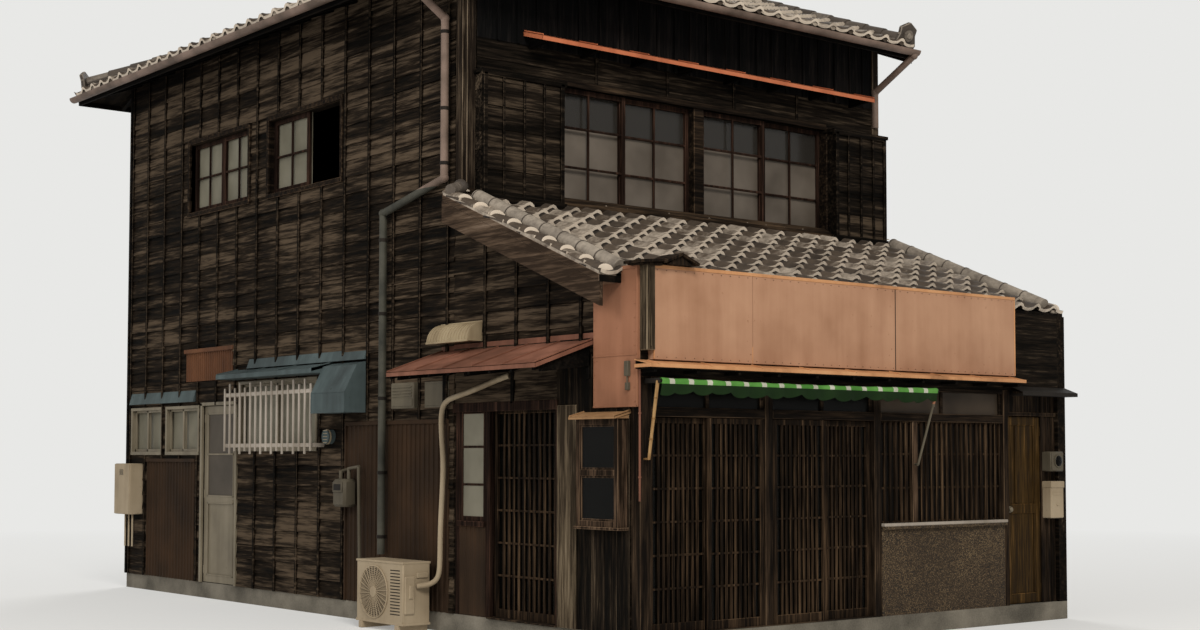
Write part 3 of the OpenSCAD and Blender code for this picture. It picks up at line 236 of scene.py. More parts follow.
def piece(name, bm, finish, slot, body="house", whole=False, smooth=None):
    bmesh.ops.recalc_face_normals(bm, faces=bm.faces)
    mesh = bpy.data.meshes.new(name)
    bm.to_mesh(mesh)
    bm.free()
    if smooth is not None:
        mesh.shade_smooth()
        mesh.set_sharp_from_angle(angle=math.radians(smooth))
    mesh.materials.append(finish.material)
    made = bpy.data.objects.new(name, mesh)
    scene.collection.objects.link(made)
    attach(made, body)
    if whole:
        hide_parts(slot)
    print(name, len(mesh.polygons), "faces")
    return made


def dress(finish, *nodes):
    for name in nodes:
        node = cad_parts[name]
        if not node.material_slots:
            node.data.materials.append(finish.material)
        for slot in node.material_slots:
            slot.material = finish.material

# %% [markdown]
# Colours are written as they look on screen, from 0 to 255, and turned into the linear
# numbers that the shader works in.

# %% Colours
def paint(red, green, blue):
    return tuple(((c / 255 + 0.055) / 1.055) ** 2.4 if c > 10 else c / 3294 for c in (red, green, blue))


# %% [markdown]
# The walls are cedar boards that have stood in the weather for decades: nearly black in the
# grain, grey-brown on the raised fibres, each board a little different. The fibres are a
# noise stretched along the board, and the tone that every board carries shifts its colour.

# %% Weathered timber
def timber(name, dark, middle, light, grain, fibre=1.0, rough=0.82, bump=0.5):
    made = Finish(name, Specular_IOR_Level=0.04)
    along, across = 0.9, 16.0 * fibre
    scale = {"X": (along, across, across), "Y": (across, along, across), "Z": (across, across, along)}[grain]
    at = made.place(scale)
    fibres = made.noise(2.2, 6.0, at, 0.62)
    fine = made.noise(8.0, 3.0, at, 0.5)
    streaks = made.noise(0.7, 3.0, at, 0.5)
    weather = made.noise(0.9, 3.0)
    amount = fibres * 2.0 + fine * 0.6 + streaks * 1.2 + weather * 0.8 + made.tone() * 0.5 - 2.05
    colour = made.ramp(amount, (0.1, paint(*dark)), (0.5, paint(*middle)), (0.95, paint(*light)))
    dull = made.ramp(fibres, (0.3, (rough - 0.1,) * 3), (0.7, (rough + 0.1,) * 3))
    return made.shade(colour, dull, fibres + fine * 0.3 + streaks * 0.5, bump, 0.006)


board_y = timber("boards along the side", (7, 5, 3), (32, 25, 18), (84, 71, 57), "Y")
board_x = timber("boards along the front", (7, 5, 3), (30, 24, 18), (78, 66, 53), "X")
board_z = timber("upright boards", (8, 6, 4), (34, 27, 20), (80, 68, 54), "Z")
dark_board = timber("dark upright boards", (8, 8, 8), (22, 20, 19), (44, 39, 35), "Z")
lattice_wood = timber("lattice", (16, 11, 7), (50, 38, 27), (92, 73, 54), "Z", 1.6, bump=0.3)
frame_wood = timber("frame timber", (14, 10, 7), (44, 34, 25), (84, 68, 52), "Z", 1.2)
rail_wood = timber("rails", (14, 10, 7), (40, 31, 23), (82, 66, 50), "X", 1.2)
sash_wood = timber("reddish sashes", (20, 12, 8), (46, 32, 25), (84, 60, 48), "Z", 1.6, bump=0.3)
grey_wood = timber("grey post", (26, 20, 15), (70, 59, 47), (116, 101, 84), "Z", 1.2)
pale_board = timber("pale weathered board", (44, 36, 27), (88, 76, 60), (122, 108, 88), "Z")
case_wood = timber("showcase timber", (26, 19, 13), (74, 58, 45), (112, 92, 72), "Z", 1.2)
verge_wood = timber("slanting boards", (44, 34, 26), (80, 65, 52), (116, 99, 84), "Y", 1.0)
# The wood under the eaves, the hoods, the canopy and the ledge is nearly black: painted shade on the
# undersides.
underside_shade_wood = timber("wood under the eaves", (5, 4, 3), (16, 13, 10), (32, 26, 20), "Y")
floor_wood = timber("floor boards", (60, 44, 30), (96, 72, 50), (130, 100, 72), "X", 1.0)
door_wood = timber("worn varnished door", (36, 25, 11), (62, 45, 21), (112, 83, 48), "Z", 1.4, 0.6, 0.2)
bamboo = timber("bamboo pole", (92, 66, 40), (128, 96, 60), (158, 126, 86), "Z", 1.4, 0.5, 0.1)
print("sixteen timbers from one recipe")

# %% [markdown]
# Fired clay tiles are grey-brown, each fired a little differently. Their lower edges are made pale
# as a painted highlight, and the part of each tile under the next row's lip is made dark as a painted
# shadow. Concrete is cast, rained on and dirty near the ground. The panel under the shop window
# shows its pebbles: cells of different greys with dark mortar between them.

# %% Tiles and concrete
def clay(name, dark, middle, light):
    made = Finish(name, Specular_IOR_Level=0.3)
    spots = made.noise(9.0, 5.0)
    patches = made.noise(1.7, 2.0)
    specks = made.noise(34.0, 4.0)
    amount = made.tone() * 0.45 + spots * 0.5 + patches * 0.35 + specks * 0.3 - 0.34
    colour = made.ramp(amount, (0.05, paint(*dark)), (0.5, paint(*middle)), (1.0, paint(*light)))
    dull = made.ramp(spots, (0.3, (0.6,) * 3), (0.7, (0.85,) * 3))
    return made.shade(colour, dull, spots + specks * 0.3, 0.3, 0.004)


tile_clay = clay("roof tiles", (28, 21, 15), (78, 66, 54), (214, 199, 180))
ridge_clay = clay("ridge tiles", (46, 39, 33), (84, 75, 66), (176, 164, 148))

concrete = Finish("concrete", Specular_IOR_Level=0.3)
stain = concrete.noise(2.2, 6.0)
grit = concrete.noise(60.0, 3.0)
cast = concrete.ramp(stain * 0.8 + grit * 0.25, (0.3, paint(58, 54, 46)), (0.7, paint(126, 119, 106)))
concrete.shade(cast, 0.9, grit, 0.3, 0.004)

pebble = Finish("pebble concrete", Specular_IOR_Level=0.3)
stones = pebble.cells(110.0)
stone_tone = pebble.node("ShaderNodeSeparateColor", {0: pebble.cells(110.0, out="Color")}, out="Red")
damp = pebble.noise(1.6, 4.0)
stone_colour = pebble.ramp(
    stone_tone * 0.55 + damp * 0.6,
    (0.2, paint(36, 27, 16)), (0.6, paint(66, 51, 33)), (1.0, paint(120, 101, 74)))
pebble.shade(pebble.mix(stones > 0.62, stone_colour, paint(30, 23, 15)), 0.88, 1.0 - stones, 0.6, 0.004)

# %% [markdown]
# The sign, its ledge and the canopies are copper and painted sheet. They were folded from
# flat metal, so they are dull, streaked by rain from top to bottom and stained dark in spots.

# %% Sheet metal
def sheet_metal(name, base, pale, dark, rough, metal, bump=0.15):
    made = Finish(name, Specular_IOR_Level=0.1)
    base, pale, dark = paint(*base), paint(*pale), paint(*dark)
    runs = made.noise(1.0, 5.0, made.place((7.0, 7.0, 0.5)), 0.6)
    clouds = made.noise(1.3, 4.0)
    spots = made.noise(26.0, 4.0)
    body = made.ramp(clouds * 0.75 + runs * 0.35 - 0.05, (0.25, dark), (0.5, base), (0.78, pale))
    stained = made.ramp(spots + runs * 0.3, (0.86, (0, 0, 0)), (0.95, (1, 1, 1)))
    dull = made.ramp(clouds, (0.3, (rough - 0.08,) * 3), (0.7, (rough + 0.12,) * 3))
    return made.shade(made.mix(stained, body, dark), dull, clouds + spots * 0.2, bump, 0.01, metal)


sign_copper = sheet_metal("salmon copper", (166, 126, 99), (186, 146, 117), (138, 98, 72), 0.6, 0.05)
side_copper = sheet_metal("shaded copper", (140, 96, 72), (162, 114, 88), (106, 70, 50), 0.6, 0.05)
edge_copper = sheet_metal("orange copper", (186, 134, 92), (214, 166, 120), (108, 72, 46), 0.5, 0.1)
hood_copper = sheet_metal("rosy copper", (184, 106, 72), (204, 128, 92), (120, 64, 42), 0.5, 0.1)
canopy_copper = sheet_metal("pink-brown canopy sheet", (112, 74, 58), (158, 108, 88), (70, 46, 36), 0.6, 0.05)
brown_sheet = sheet_metal("brown ribbed sheet", (48, 35, 24), (69, 50, 35), (22, 15, 9), 0.8, 0.0)
rust_sheet = sheet_metal("reddish patch", (92, 60, 40), (118, 80, 55), (52, 34, 24), 0.7, 0.0)
case_sheet = sheet_metal("rusty case roof", (146, 112, 78), (166, 132, 96), (108, 78, 50), 0.65, 0.05)
blue_tin = sheet_metal("blue-grey tin", (70, 80, 80), (98, 110, 110), (38, 42, 42), 0.6, 0.05)
pale_tin = sheet_metal("pale hood", (156, 140, 112), (182, 166, 138), (104, 88, 66), 0.6, 0.0)
aluminium = sheet_metal("anodised aluminium", (116, 107, 90), (142, 132, 114), (78, 69, 55), 0.45, 0.2, 0.03)
white_bars = sheet_metal("pale grille paint", (152, 142, 130), (178, 168, 156), (110, 99, 86), 0.5, 0.0, 0.05)
enamel = sheet_metal("beige enamel", (152, 136, 112), (174, 158, 134), (108, 92, 72), 0.5, 0.0, 0.03)
grey_enamel = sheet_metal("grey enamel", (84, 77, 64), (106, 98, 82), (52, 46, 36), 0.5, 0.05, 0.05)
dark_iron = sheet_metal("dark iron", (34, 30, 26), (52, 46, 40), (16, 13, 11), 0.6, 0.3)
print("fifteen sheet finishes")

# %% [markdown]
# One material serves every pane of the frame at the front, and it changes with height: dark
# behind the shop, where the panes are painted near black as painted shade of the dark room,
# frosted in the upper windows, and clear in their top row. The others are old panes that carry
# a thin haze of dust. The pale side panes are opaque, with a painted reflection of the sky, and the
# dark panes are painted near black as painted shade of the rooms behind them.

# %% Glass
window_glass = Finish("frosted and clear panes", Specular_IOR_Level=0.2)
shop_top, frost_top = 3.0, 4.668
clear = window_glass.axis("Z") > frost_top
shop_part = window_glass.axis("Z") > shop_top
haze = window_glass.noise(1.8, 3.0)
frost = window_glass.ramp(haze, (0.3, paint(74, 66, 57)), (0.7, paint(102, 93, 83)))
# Below the shop's top the panes are near black: painted shade of the dark shop behind them.
window_colour = window_glass.mix(shop_part, paint(9, 8, 6), window_glass.mix(clear, frost, paint(48, 45, 41)))
window_glass.shade(window_colour, 0.5 - clear * 0.3, alpha=1.0 - clear * 0.2)


def haze_glass(name, dark, pale, rough, alpha):
    made = Finish(name, Specular_IOR_Level=0.06, Roughness=rough)
    shades = made.ramp(made.noise(2.0, 3.0), (0.3, paint(*dark)), (0.7, paint(*pale)))
    return made.shade(shades, alpha=alpha)


side_pane = haze_glass("old window glass", (62, 56, 48), (84, 76, 66), 0.35, 0.92)
# The side panes are opaque and pale: a painted reflection of the sky.
sky_reflection_pane = haze_glass("pale side window", (98, 94, 80), (124, 119, 104), 0.4, 1.0)
brown_pane = haze_glass("brown transom glass", (48, 40, 32), (68, 58, 47), 0.3, 0.95)
# Near-black panes: painted shade of the dark rooms and cases behind doors, transoms, the showcase and the
# meter dome.
dark_pane = haze_glass("dark glass", (3, 3, 2), (9, 8, 6), 0.3, 0.95)

# %% [markdown]
# The awning cloth is striped green and white across its width where it is rolled. Below the
# roll the valance hangs in shade, and its stripes are almost lost in a dark green.

# %% Awning cloth
cloth = Finish("striped awning cloth", Specular_IOR_Level=0.1)
stripe = cloth.node("ShaderNodeMath", {0: cloth.axis("X") * 5.0}, operation="FRACT") > 0.72
faded = cloth.noise(3.0, 4.0)
green = cloth.ramp(faded, (0.3, paint(58, 108, 42)), (0.7, paint(96, 150, 72)))
white = cloth.ramp(faded, (0.3, paint(150, 150, 132)), (0.7, paint(196, 196, 180)))
roll_foot = 2.136
on_roll = cloth.axis("Z") > roll_foot
striped = cloth.mix(stripe * on_roll, green, white)
shaded = cloth.mix(on_roll, cloth.mix(0.93, striped, paint(9, 15, 9)), striped)
cloth.shade(shaded, 0.9, cloth.noise(420.0, 1.0), 0.2, 0.002)

# %% [markdown]
# The walls are clad with lapped boards: each board is a thin wedge, thick at its lower edge,
# so that it throws a line of shadow on the board below. Old boards warp, so the lower edge
# of a long one waves up and down by a few millimetres. A wall is described by a function
# that turns a place along the wall, a height and a distance out of it into a point, so one
# recipe clads every wall. Boards are cut round doors and windows.

# %% Lapped boards and battens
house_w, house_d, setback, pitch = 5.454, 9.545, 2.424, 0.4


def side_wall(along, up, out):
    return Vector((-out, along, up))


def front_wall(y):
    return lambda along, up, out: Vector((along, y - out, up))


def party_side(along, up, out):
    return Vector((house_w + out, along, up))


def back_side(along, up, out):
    return Vector((along, house_d + out, up))


def without_holes(a, b, low, high, holes):
    parts = [(a, b, low, high)]
    for left, right, bottom, top in holes:
        rest = []
        for a, b, low, high in parts:
            if right <= a or left >= b or top <= low or bottom >= high:
                rest.append((a, b, low, high))
                continue
            if left > a:
                rest.append((a, left, low, high))
            if right < b:
                rest.append((right, b, low, high))
            a, b = max(a, left), min(b, right)
            if bottom > low:
                rest.append((a, b, low, bottom))
            if top < high:
                rest.append((a, b, top, high))
        parts = rest
    return [p for p in parts if p[1] - p[0] > 0.012 and p[3] - p[2] > 0.012]


def clad(bm, wall, across, heights, holes=(), course=0.17, joints=(), thick=0.02, run=6):
    foot = heights[0]
    while foot < heights[1] - 0.02:
        head = min(foot + course * chance.uniform(0.8, 1.2), heights[1])
        inner = [j for j in joints if across[0] + 0.1 < j < across[1] - 0.1]
        ends = [across[0]] + sorted(chance.sample(inner, len(inner) // run)) + [across[1]]
        for a, b in zip(ends, ends[1:]):
            tone = chance.random()
            lower = thick * chance.uniform(0.7, 1.2)
            phase, swing = chance.uniform(0, 6), chance.uniform(0.002, 0.008)
            for left, right, low, high in without_holes(a, b, foot, head, holes):
                out = [lower * (1 - 0.75 * (z - foot) / (head - foot)) for z in (low, high)]
                corners = [wall(left, z, o) for z, o in ((low, 0), (low, out[0]), (high, out[1]), (high, 0))]
                run_along = wall(right, low, 0) - wall(left, low, 0)
                made = prism(bm, corners, run_along, tone)
                length = run_along.length
                if low > foot or length < 0.5:
                    continue
                long_edges = {e for f in made for e in f.edges if e.calc_length() > 0.9 * length}
                cut = bmesh.ops.subdivide_edges(
                    bm, edges=list(long_edges), cuts=round(length / 0.3) - 1, use_grid_fill=True)
                for v in [g for g in cut["geom_inner"] if isinstance(g, bmesh.types.BMVert)]:
                    if v.co.z < low + 0.001:
                        x = (v.co - corners[0]).dot(run_along.normalized()) + left
                        v.co.z += swing * (math.sin(x * 3.1 + phase) + 0.5 * math.sin(x * 7.7 + phase))
        foot = head


def battens(bm, wall, places, heights, holes=(), width=0.03, out=0.034):
    for place in places:
        tone = chance.uniform(0.7, 1.5)
        lean = chance.uniform(-0.006, 0.006)
        for left, right, low, high in without_holes(place - width / 2, place + width / 2, *heights, holes):
            corners = [wall(left, low, 0), wall(right, low, 0), wall(right, low, out), wall(left, low, out)]
            run = wall(left + lean, high, 0) - wall(left, low, 0)
            prism(bm, corners, run, tone, 0.002)


# %% [markdown]
# Side wall. The battens stand a quarter of a ken apart, which is 0.4545 m, and were counted
# in the photograph. The lower boards leave out the ribbed sheets, doors and windows.

# %% Boards of the side wall
quarter = 0.4545
high_joints = [2.66 + quarter * k for k in range(16)]
low_joints = [j for j in high_joints if j < 9.5]
upper_holes = [(4.56, 6.03, 4.33, 5.11), (6.50, 7.90, 4.33, 5.11)]
lower_holes = [
    (1.05, 2.54, 0.17, 1.99), (2.64, 4.44, 0.17, 1.906), (4.99, 6.68, 1.62, 2.37),
    (6.74, 7.53, 0.17, 2.13), (7.62, 8.48, 1.58, 2.14), (8.57, 9.43, 1.58, 2.14),
    (7.72, 8.995, 0.17, 1.54), (6.84, 7.99, 2.41, 2.776)]
bm = start()
clad(bm, side_wall, (2.56, 9.54), (2.40, 6.07), upper_holes + lower_holes[-1:], joints=high_joints)
battens(bm, side_wall, high_joints, (2.40, 6.05), upper_holes + lower_holes[-1:])
battens(bm, side_wall, [9.49], (0.17, 6.05), width=0.1)
piece("side_boards_high", bm, board_y, "left_wall_upper")

bm = start()
clad(bm, side_wall, (2.56, 9.54), (0.17, 2.40), lower_holes, joints=low_joints)
battens(bm, side_wall, low_joints, (0.17, 2.40), lower_holes)
clad(bm, side_wall, (1.05, 2.54), (2.0, 2.40), course=0.2)
piece("side_boards_low", bm, board_y, "left_wall_lower")

# %% [markdown]
# Under the pent roof the wall ends in a slope. The boards are laid past it and cut off by
# one plane, and the open cut is closed again.

# %% Boards under the pent roof
pent_foot = (0, 0.2, 2.938)


def cut_off(bm, point, normal):
    everything = bm.verts[:] + bm.edges[:] + bm.faces[:]
    cut = bmesh.ops.bisect_plane(
        bm, geom=everything, plane_co=point, plane_no=normal, clear_outer=True)["geom_cut"]
    rim = [e for e in cut if isinstance(e, bmesh.types.BMEdge)]
    if rim:
        filled = bmesh.ops.holes_fill(bm, edges=rim)["faces"]
        tint(bm, filled, 0.3)


bm = start()
gable_joints = [0.72, 1.16, 1.61, 2.07]
clad(bm, side_wall, (0.555, 2.56), (2.40, 3.90), joints=gable_joints, course=0.2)
battens(bm, side_wall, gable_joints, (2.40, 3.90))
cut_off(bm, pent_foot, (0, -pitch, 1))
piece("gable_boards", bm, board_y, "gable_walls")

bm = start()
for k in range(6):
    y = 0.115 + 0.156 * k
    bar(bm, (-0.014, y + 0.002, 0.17), (0, y + 0.154, 1.955 if y < 0.5 else 2.395), 0.003)
piece("pier_boards", bm, board_z, "left_wall_lower")
bm = start()
bar(bm, (-0.03, 0.78, 0.17), (-0.002, 1.03, 1.99), 0.004, 0.6)
piece("pale_board", bm, pale_board, "left_wall_lower")

# %% [markdown]
# Upper front. Boards lie round the windows, and a paler post closes the left corner. Over
# the copper hood the wall has dark upright boards, a piece of their own. The shutter boxes
# have their own boards with three battens each.

# %% Boards of the upper front
upper = front_wall(setback)
box_holes = [(0.06, 1.03, 3.7, 5.05), (1.0, 4.64, 3.83, 5.04), (4.60, 5.45, 3.7, 5.05)]
bm = start()
clad(bm, upper, (0.12, house_w), (3.80, 5.36), box_holes, joints=[1.0, 1.9, 2.8, 3.7, 4.6], thick=0.016)
battens(bm, upper, [1.5, 2.4, 3.3, 4.2], (5.05, 5.36), out=0.026)
piece("upper_front_boards", bm, board_x, "upper_front_wall")
bm = start()
left = 0.12
while left < 5.44:
    right = min(left + chance.uniform(0.2, 0.26), house_w)
    out = chance.uniform(0.008, 0.014)
    bar(bm, (left + 0.003, setback - out, 5.36), (right - 0.003, setback, 6.07), 0.002)
    bar(bm, (right - 0.02, 2.396, 5.36), (right + 0.012 if right < 5.43 else right, 2.42, 6.07), 0.002)
    left = right
piece("boards_over_hood", bm, dark_board, "upper_front_wall")

bm = start()
bar(bm, (-0.008, 2.384, 3.84), (0.088, setback, 6.06), 0.005, 1.2)
bar(bm, (-0.03, setback, 3.84), (0.0, 2.53, 6.06), 0.005, 0.9)
bar(bm, (5.36, 2.39, 3.84), (house_w, setback, 6.06), 0.005, 0.9)
piece("corner_boards", bm, grey_wood, "upper_front_wall")

bm = start()
for a, b in ((0.09, 1.0), (4.64, 5.424)):
    face = front_wall(2.284)
    clad(bm, face, (a + 0.03, b - 0.03), (3.905, 4.985), course=0.2, thick=0.014)
    for x in (a + 0.02, b - 0.02):
        bar(bm, (x - 0.02, 2.252, 3.90), (x + 0.02, 2.29, 5.01), 0.003, 0.6)
    battens(bm, face, [a + (b - a) * k / 4 for k in (1, 2, 3)], (3.905, 4.985), width=0.022, out=0.03)
    bar(bm, (a, 2.248, 3.84), (b, 2.29, 3.912), 0.004, 0.4)
    bar(bm, (a - 0.028, 2.252, 4.985), (b + 0.028 if b < 5 else b, 2.29, 5.03), 0.004, 0.7)
box_side = lambda along, up, out: Vector((0.09 - out, along, up))
clad(bm, box_side, (2.29, 2.42), (3.905, 5.0), course=0.2, thick=0.01)
piece("shutter_box_boards", bm, board_x, "shutter_boxes")

# %% [markdown]
# The party wall and the back are hidden in the photograph. They repeat the same boards and
# battens in a plain way.

# %% Boards of the party wall and the back
bm = start()
plain_joints = [0.3 + quarter * k for k in range(21)]
clad(bm, party_side, (2.43, 9.54), (0.17, 7.6), joints=plain_joints)
battens(bm, party_side, plain_joints[5:], (0.17, 7.6), out=0.03)
for way in (pitch, -pitch):
    cut_off(bm, (0, 5.9845, 7.51), (0, way, 1))
piece("party_boards", bm, board_y, "party_wall")

bm = start()
clad(bm, party_side, (0.02, 2.43), (0.17, 3.9), joints=plain_joints)
battens(bm, party_side, plain_joints[:5], (0.17, 3.9), out=0.03)
cut_off(bm, pent_foot, (0, -pitch, 1))
piece("party_boards_low", bm, board_y, "gable_walls")

bm = start()
back_holes = [(1.882, 3.572, 1.62, 2.37), (1.882, 3.572, 4.33, 5.08)]
clad(bm, back_side, (0.0, house_w), (0.17, 6.07), back_holes, joints=plain_joints[:12])
battens(bm, back_side, plain_joints[:12], (0.17, 6.05), back_holes)
piece("back_boards", bm, board_x, "back_wall")

# %% [markdown]
# The roofs carry pantiles: each is a shallow trough with a roll along its right side that
# covers the edge of its neighbour. One tile is bent from a grid and given its thickness, and
# then it is duplicated in columns and rows. Its lower edge stands up on the tile below.

# %% One pantile
tile_w, tile_row, tile_thick = 0.265, 0.235, 0.016
# Tone shifts for painted light: a painted highlight on the lip of each tile, and a painted shadow on its head
# under the next row.
lip_highlight_shift, head_shadow_shift = 1.3, -1.1


def tile_height(across):
    part = across / tile_w
    if part < 0.66:
        return -0.016 * math.sin(math.pi * part / 0.66)
    return 0.034 * math.sin(math.pi * min((part - 0.66) / 0.42, 1.0))


def pantile(bm):
    width, length = tile_w * 1.08, tile_row * 1.22
    top = bmesh.ops.create_grid(bm, x_segments=10, y_segments=3, size=0.5)["verts"]
    for v in top:
        across = (v.co.x + 0.5) * width
        up = v.co.y + 0.5
        crown = 0.008 * (1 - up) ** 3
        v.co = Vector((across, up * length, tile_height(across) + 0.052 - 0.036 * up + crown))
    faces = list({f for v in top for f in v.link_faces})
    pushed = bmesh.ops.extrude_face_region(bm, geom=faces, use_keep_orig=True)["geom"]
    lower = [g for g in pushed if isinstance(g, bmesh.types.BMVert)]
    bmesh.ops.translate(bm, verts=lower, vec=(0, 0, -tile_thick))
    bmesh.ops.translate(bm, verts=[v for v in lower if v.co.y < 0.001], vec=(0, 0, -0.014))
    return bm.verts[:] + bm.edges[:] + bm.faces[:]


def lay(bm, proto, matrix, tone):
    copy = bmesh.ops.duplicate(bm, geom=proto)["geom"]
    verts = [g for g in copy if isinstance(g, bmesh.types.BMVert)]
    faces = [g for g in copy if isinstance(g, bmesh.types.BMFace)]
    tint(bm, faces, tone)
    layer = bm.faces.layers.float["tone"]
    # The lip faces are made paler as a painted highlight, and the faces under the next row's lip darker as a
    # painted shadow.
    for face in faces:
        if max(v.co.y for v in face.verts) < 0.001:
            face[layer] = tone + lip_highlight_shift
        elif min(v.co.y for v in face.verts) > 0.6 * tile_row:
            face[layer] = tone + head_shadow_shift
    bmesh.ops.transform(bm, matrix=matrix, verts=verts)


# %% [markdown]
# A slope is described by the left end of its eave, the direction along the eave and the
# direction up the slope. The board below the tiles replaces the thick block of the frame.

# %% Slopes of tiles
def slope_matrix(corner, along, up):
    along, up = Vector(along).normalized(), Vector(up).normalized()
    normal = along.cross(up)
    return Matrix.Translation(corner) @ Matrix((along, up, normal)).transposed().to_4x4()


def tile_slope(name, corner, along, up, columns, rows, slot, cuts):
    bm = start()
    proto = pantile(bm)
    place = slope_matrix(corner, along, up)
    for row in range(rows):
        for column in range(columns):
            x = column * tile_w + chance.uniform(-0.003, 0.003)
            y = row * tile_row + chance.uniform(-0.004, 0.004)
            slip = Matrix.Translation((x, y, chance.uniform(-0.002, 0.002)))
            skew = Matrix.Rotation(chance.uniform(-0.012, 0.012), 4, "Z")
            lay(bm, proto, place @ slip @ skew, chance.random())
    bmesh.ops.delete(bm, geom=[g for g in proto if isinstance(g, bmesh.types.BMVert)], context="VERTS")
    for point, normal in cuts:
        cut_off(bm, point, normal)
    piece(name, bm, tile_clay, slot, whole=True, smooth=50)


pent_left, pent_w = -0.25, 5.954
pent_up = Vector((0, 1, pitch))
pent_corner = Vector((pent_left, 0.2, 2.94)) + Vector((0.0, 0.0, 0.045))
pent_cuts = [((0, 2.35, 0), (0, 1, 0)), ((5.70, 0, 0), (1, 0, 0))]
pent_columns = int(pent_w / tile_w) + 1
tile_slope("pent_tiles", pent_corner, (1, 0, 0), pent_up, pent_columns, 11, "pent_roof", pent_cuts)

bm = start()
along_x(bm, pent_left, [(0.2, 2.94), (setback, 3.8296), (setback, 3.8846), (0.2, 2.995)], pent_w, 0.4)
for k in range(12):
    rafter = [(0.22, 2.90), (2.40, 3.772), (2.40, 3.82), (0.22, 2.948)]
    along_x(bm, k * quarter + 0.02, rafter, 0.045)
piece("pent_deck", bm, underside_shade_wood, "pent_roof")

# %% [markdown]
# The main roof is hipped on the left. Its slopes are laid past the hips and cut along them
# by upright planes. Only the underside of the deck shows, between the rafters.

# %% Main roof
x0, x1, y0, y1, eave = -0.5, 5.494, 1.924, 10.045, 5.89
half = (y1 - y0) / 2
crown = Vector((x0 + half, y0 + half, eave + half * pitch))
main_rows = int(half * 1.077 / tile_row) + 1
main_columns = int((x1 - x0) / tile_w) + 1
side_columns = int((y1 - y0) / tile_w) + 1
lift = Vector((0, 0, 0.06))
ridge_spot = (0, y0 + half, 0)
slopes = (
    ("front", (x0, y0), (1, 0, 0), (0, 1, pitch), main_columns,
     [((x0, y0, 0), (-1, 1, 0)), ((x1, 0, 0), (1, 0, 0)), (ridge_spot, (0, 1, 0))]),
    ("back", (x1, y1), (-1, 0, 0), (0, -1, pitch), main_columns,
     [((x0, y1, 0), (-1, -1, 0)), (ridge_spot, (0, -1, 0)), ((x1 - 0.001, 0, 0), (1, 0, 0))]),
    ("side", (x0, y1), (0, -1, 0), (1, 0, pitch), side_columns,
     [((x0, y0, 0), (1, -1, 0)), ((x0, y1, 0), (1, 1, 0))]))
for name, (x, y), along, up, columns, cuts in slopes:
    corner = Vector((x, y, eave)) + lift
    tile_slope("main_tiles_" + name, corner, along, up, columns, main_rows, "main_roof", cuts)

bm = start()
thick = Vector((0, 0, 0.055))
for y in (y0, y1):
    prism(bm, [(x0, y, eave), (x1, y, eave), (x1, crown.y, crown.z), tuple(crown)], thick, 0.5)
prism(bm, [(x0, y0, eave), (x0, y1, eave), tuple(crown)], thick, 0.5)
for (xa, ya), (xb, yb), tone in (
        ((x0 + 0.01, y0 + 0.01), (x1 - 0.01, y0 + 0.035), 1.0),
        ((x0 + 0.01, y1 - 0.035), (x1 - 0.01, y1 - 0.01), 0.8),
        ((x0 + 0.01, y0 + 0.035), (x0 + 0.035, y1 - 0.035), 0.8)):
    bar(bm, (xa, ya, eave - 0.045), (xb, yb, eave + 0.03), 0.003, tone)
roof_line = [(y0 + 0.02, eave), (crown.y, crown.z), (y1 - 0.02, eave)]
verge = [(y, z - 0.09) for y, z in roof_line] + [(y, z + 0.02) for y, z in reversed(roof_line)]
along_x(bm, x1 - 0.03, verge, 0.028, 0.8)
piece("main_deck", bm, underside_shade_wood, "main_roof")

# %% [markdown]
# Along the eaves every roll ends in a round boss, and the gap under each trough is closed by
# a lip. Along the left edge of the pent roof each row ends in a tile with a hanging tongue.

# %% Eave bosses and verge tiles
def eave_row(bm, corner, along, out, count):
    along, out = Vector(along), Vector(out)
    for k in range(count):
        middle = Vector(corner) + along * (k * tile_w + tile_w * 0.87) + Vector((0, 0, 0.056))
        tone = chance.random()
        made = tube(bm, middle - out * 0.06, middle + out * 0.012, 0.043, 14, tone)
        ends = {f for v in made for f in v.link_faces if len(f.verts) > 8}
        face = next(f for f in ends if f.normal.dot(out) > 0.9)
        for thickness, depth in ((0.009, 0.0), (0.004, -0.006)):
            bmesh.ops.inset_region(bm, faces=[face], thickness=thickness, depth=depth)
        lip = middle + out * 0.004 - along * tile_w * 0.52
        outline = ((-0.11, 0.006), (-0.06, -0.034), (0.06, -0.034), (0.11, 0.006))
        prism(bm, [lip + along * a + Vector((0, 0, z)) for a, z in outline], out * -0.02, tone)


bm = start()
tile_foot = eave + 0.06
eave_row(bm, (x0, y0, tile_foot), (1, 0, 0), (0, -1, 0), main_columns - 1)
eave_row(bm, (x0, y1, tile_foot), (0, -1, 0), (-1, 0, 0), side_columns - 1)
eave_row(bm, (x1, y1, tile_foot), (-1, 0, 0), (0, 1, 0), main_columns - 1)
piece("eave_bosses", bm, tile_clay, "main_roof", smooth=40)


def verge_tile(bm, foot, half_w, tall, length):
    rise = length * pitch
    arch = [(-half_w * math.cos(math.pi * k / 10), tall * math.sin(math.pi * k / 10)) for k in range(11)]
    tone = chance.uniform(0.2, 0.9)
    lower = [bm.verts.new((foot.x + x, foot.y, foot.z + z)) for x, z in arch]
    upper = [bm.verts.new((foot.x + x * 0.9, foot.y + length, foot.z + rise - 0.022 + z * 0.8))
             for x, z in arch]
    sides = [bm.faces.new((lower[k], lower[k + 1], upper[k + 1], upper[k])) for k in range(10)]
    sides += [bm.faces.new((lower[0], upper[0], upper[-1], lower[-1])), bm.faces.new(upper)]
    tint(bm, sides, tone)
    # The lower end face is made pale as a painted highlight.
    tint(bm, [bm.faces.new(lower)], 2.2)


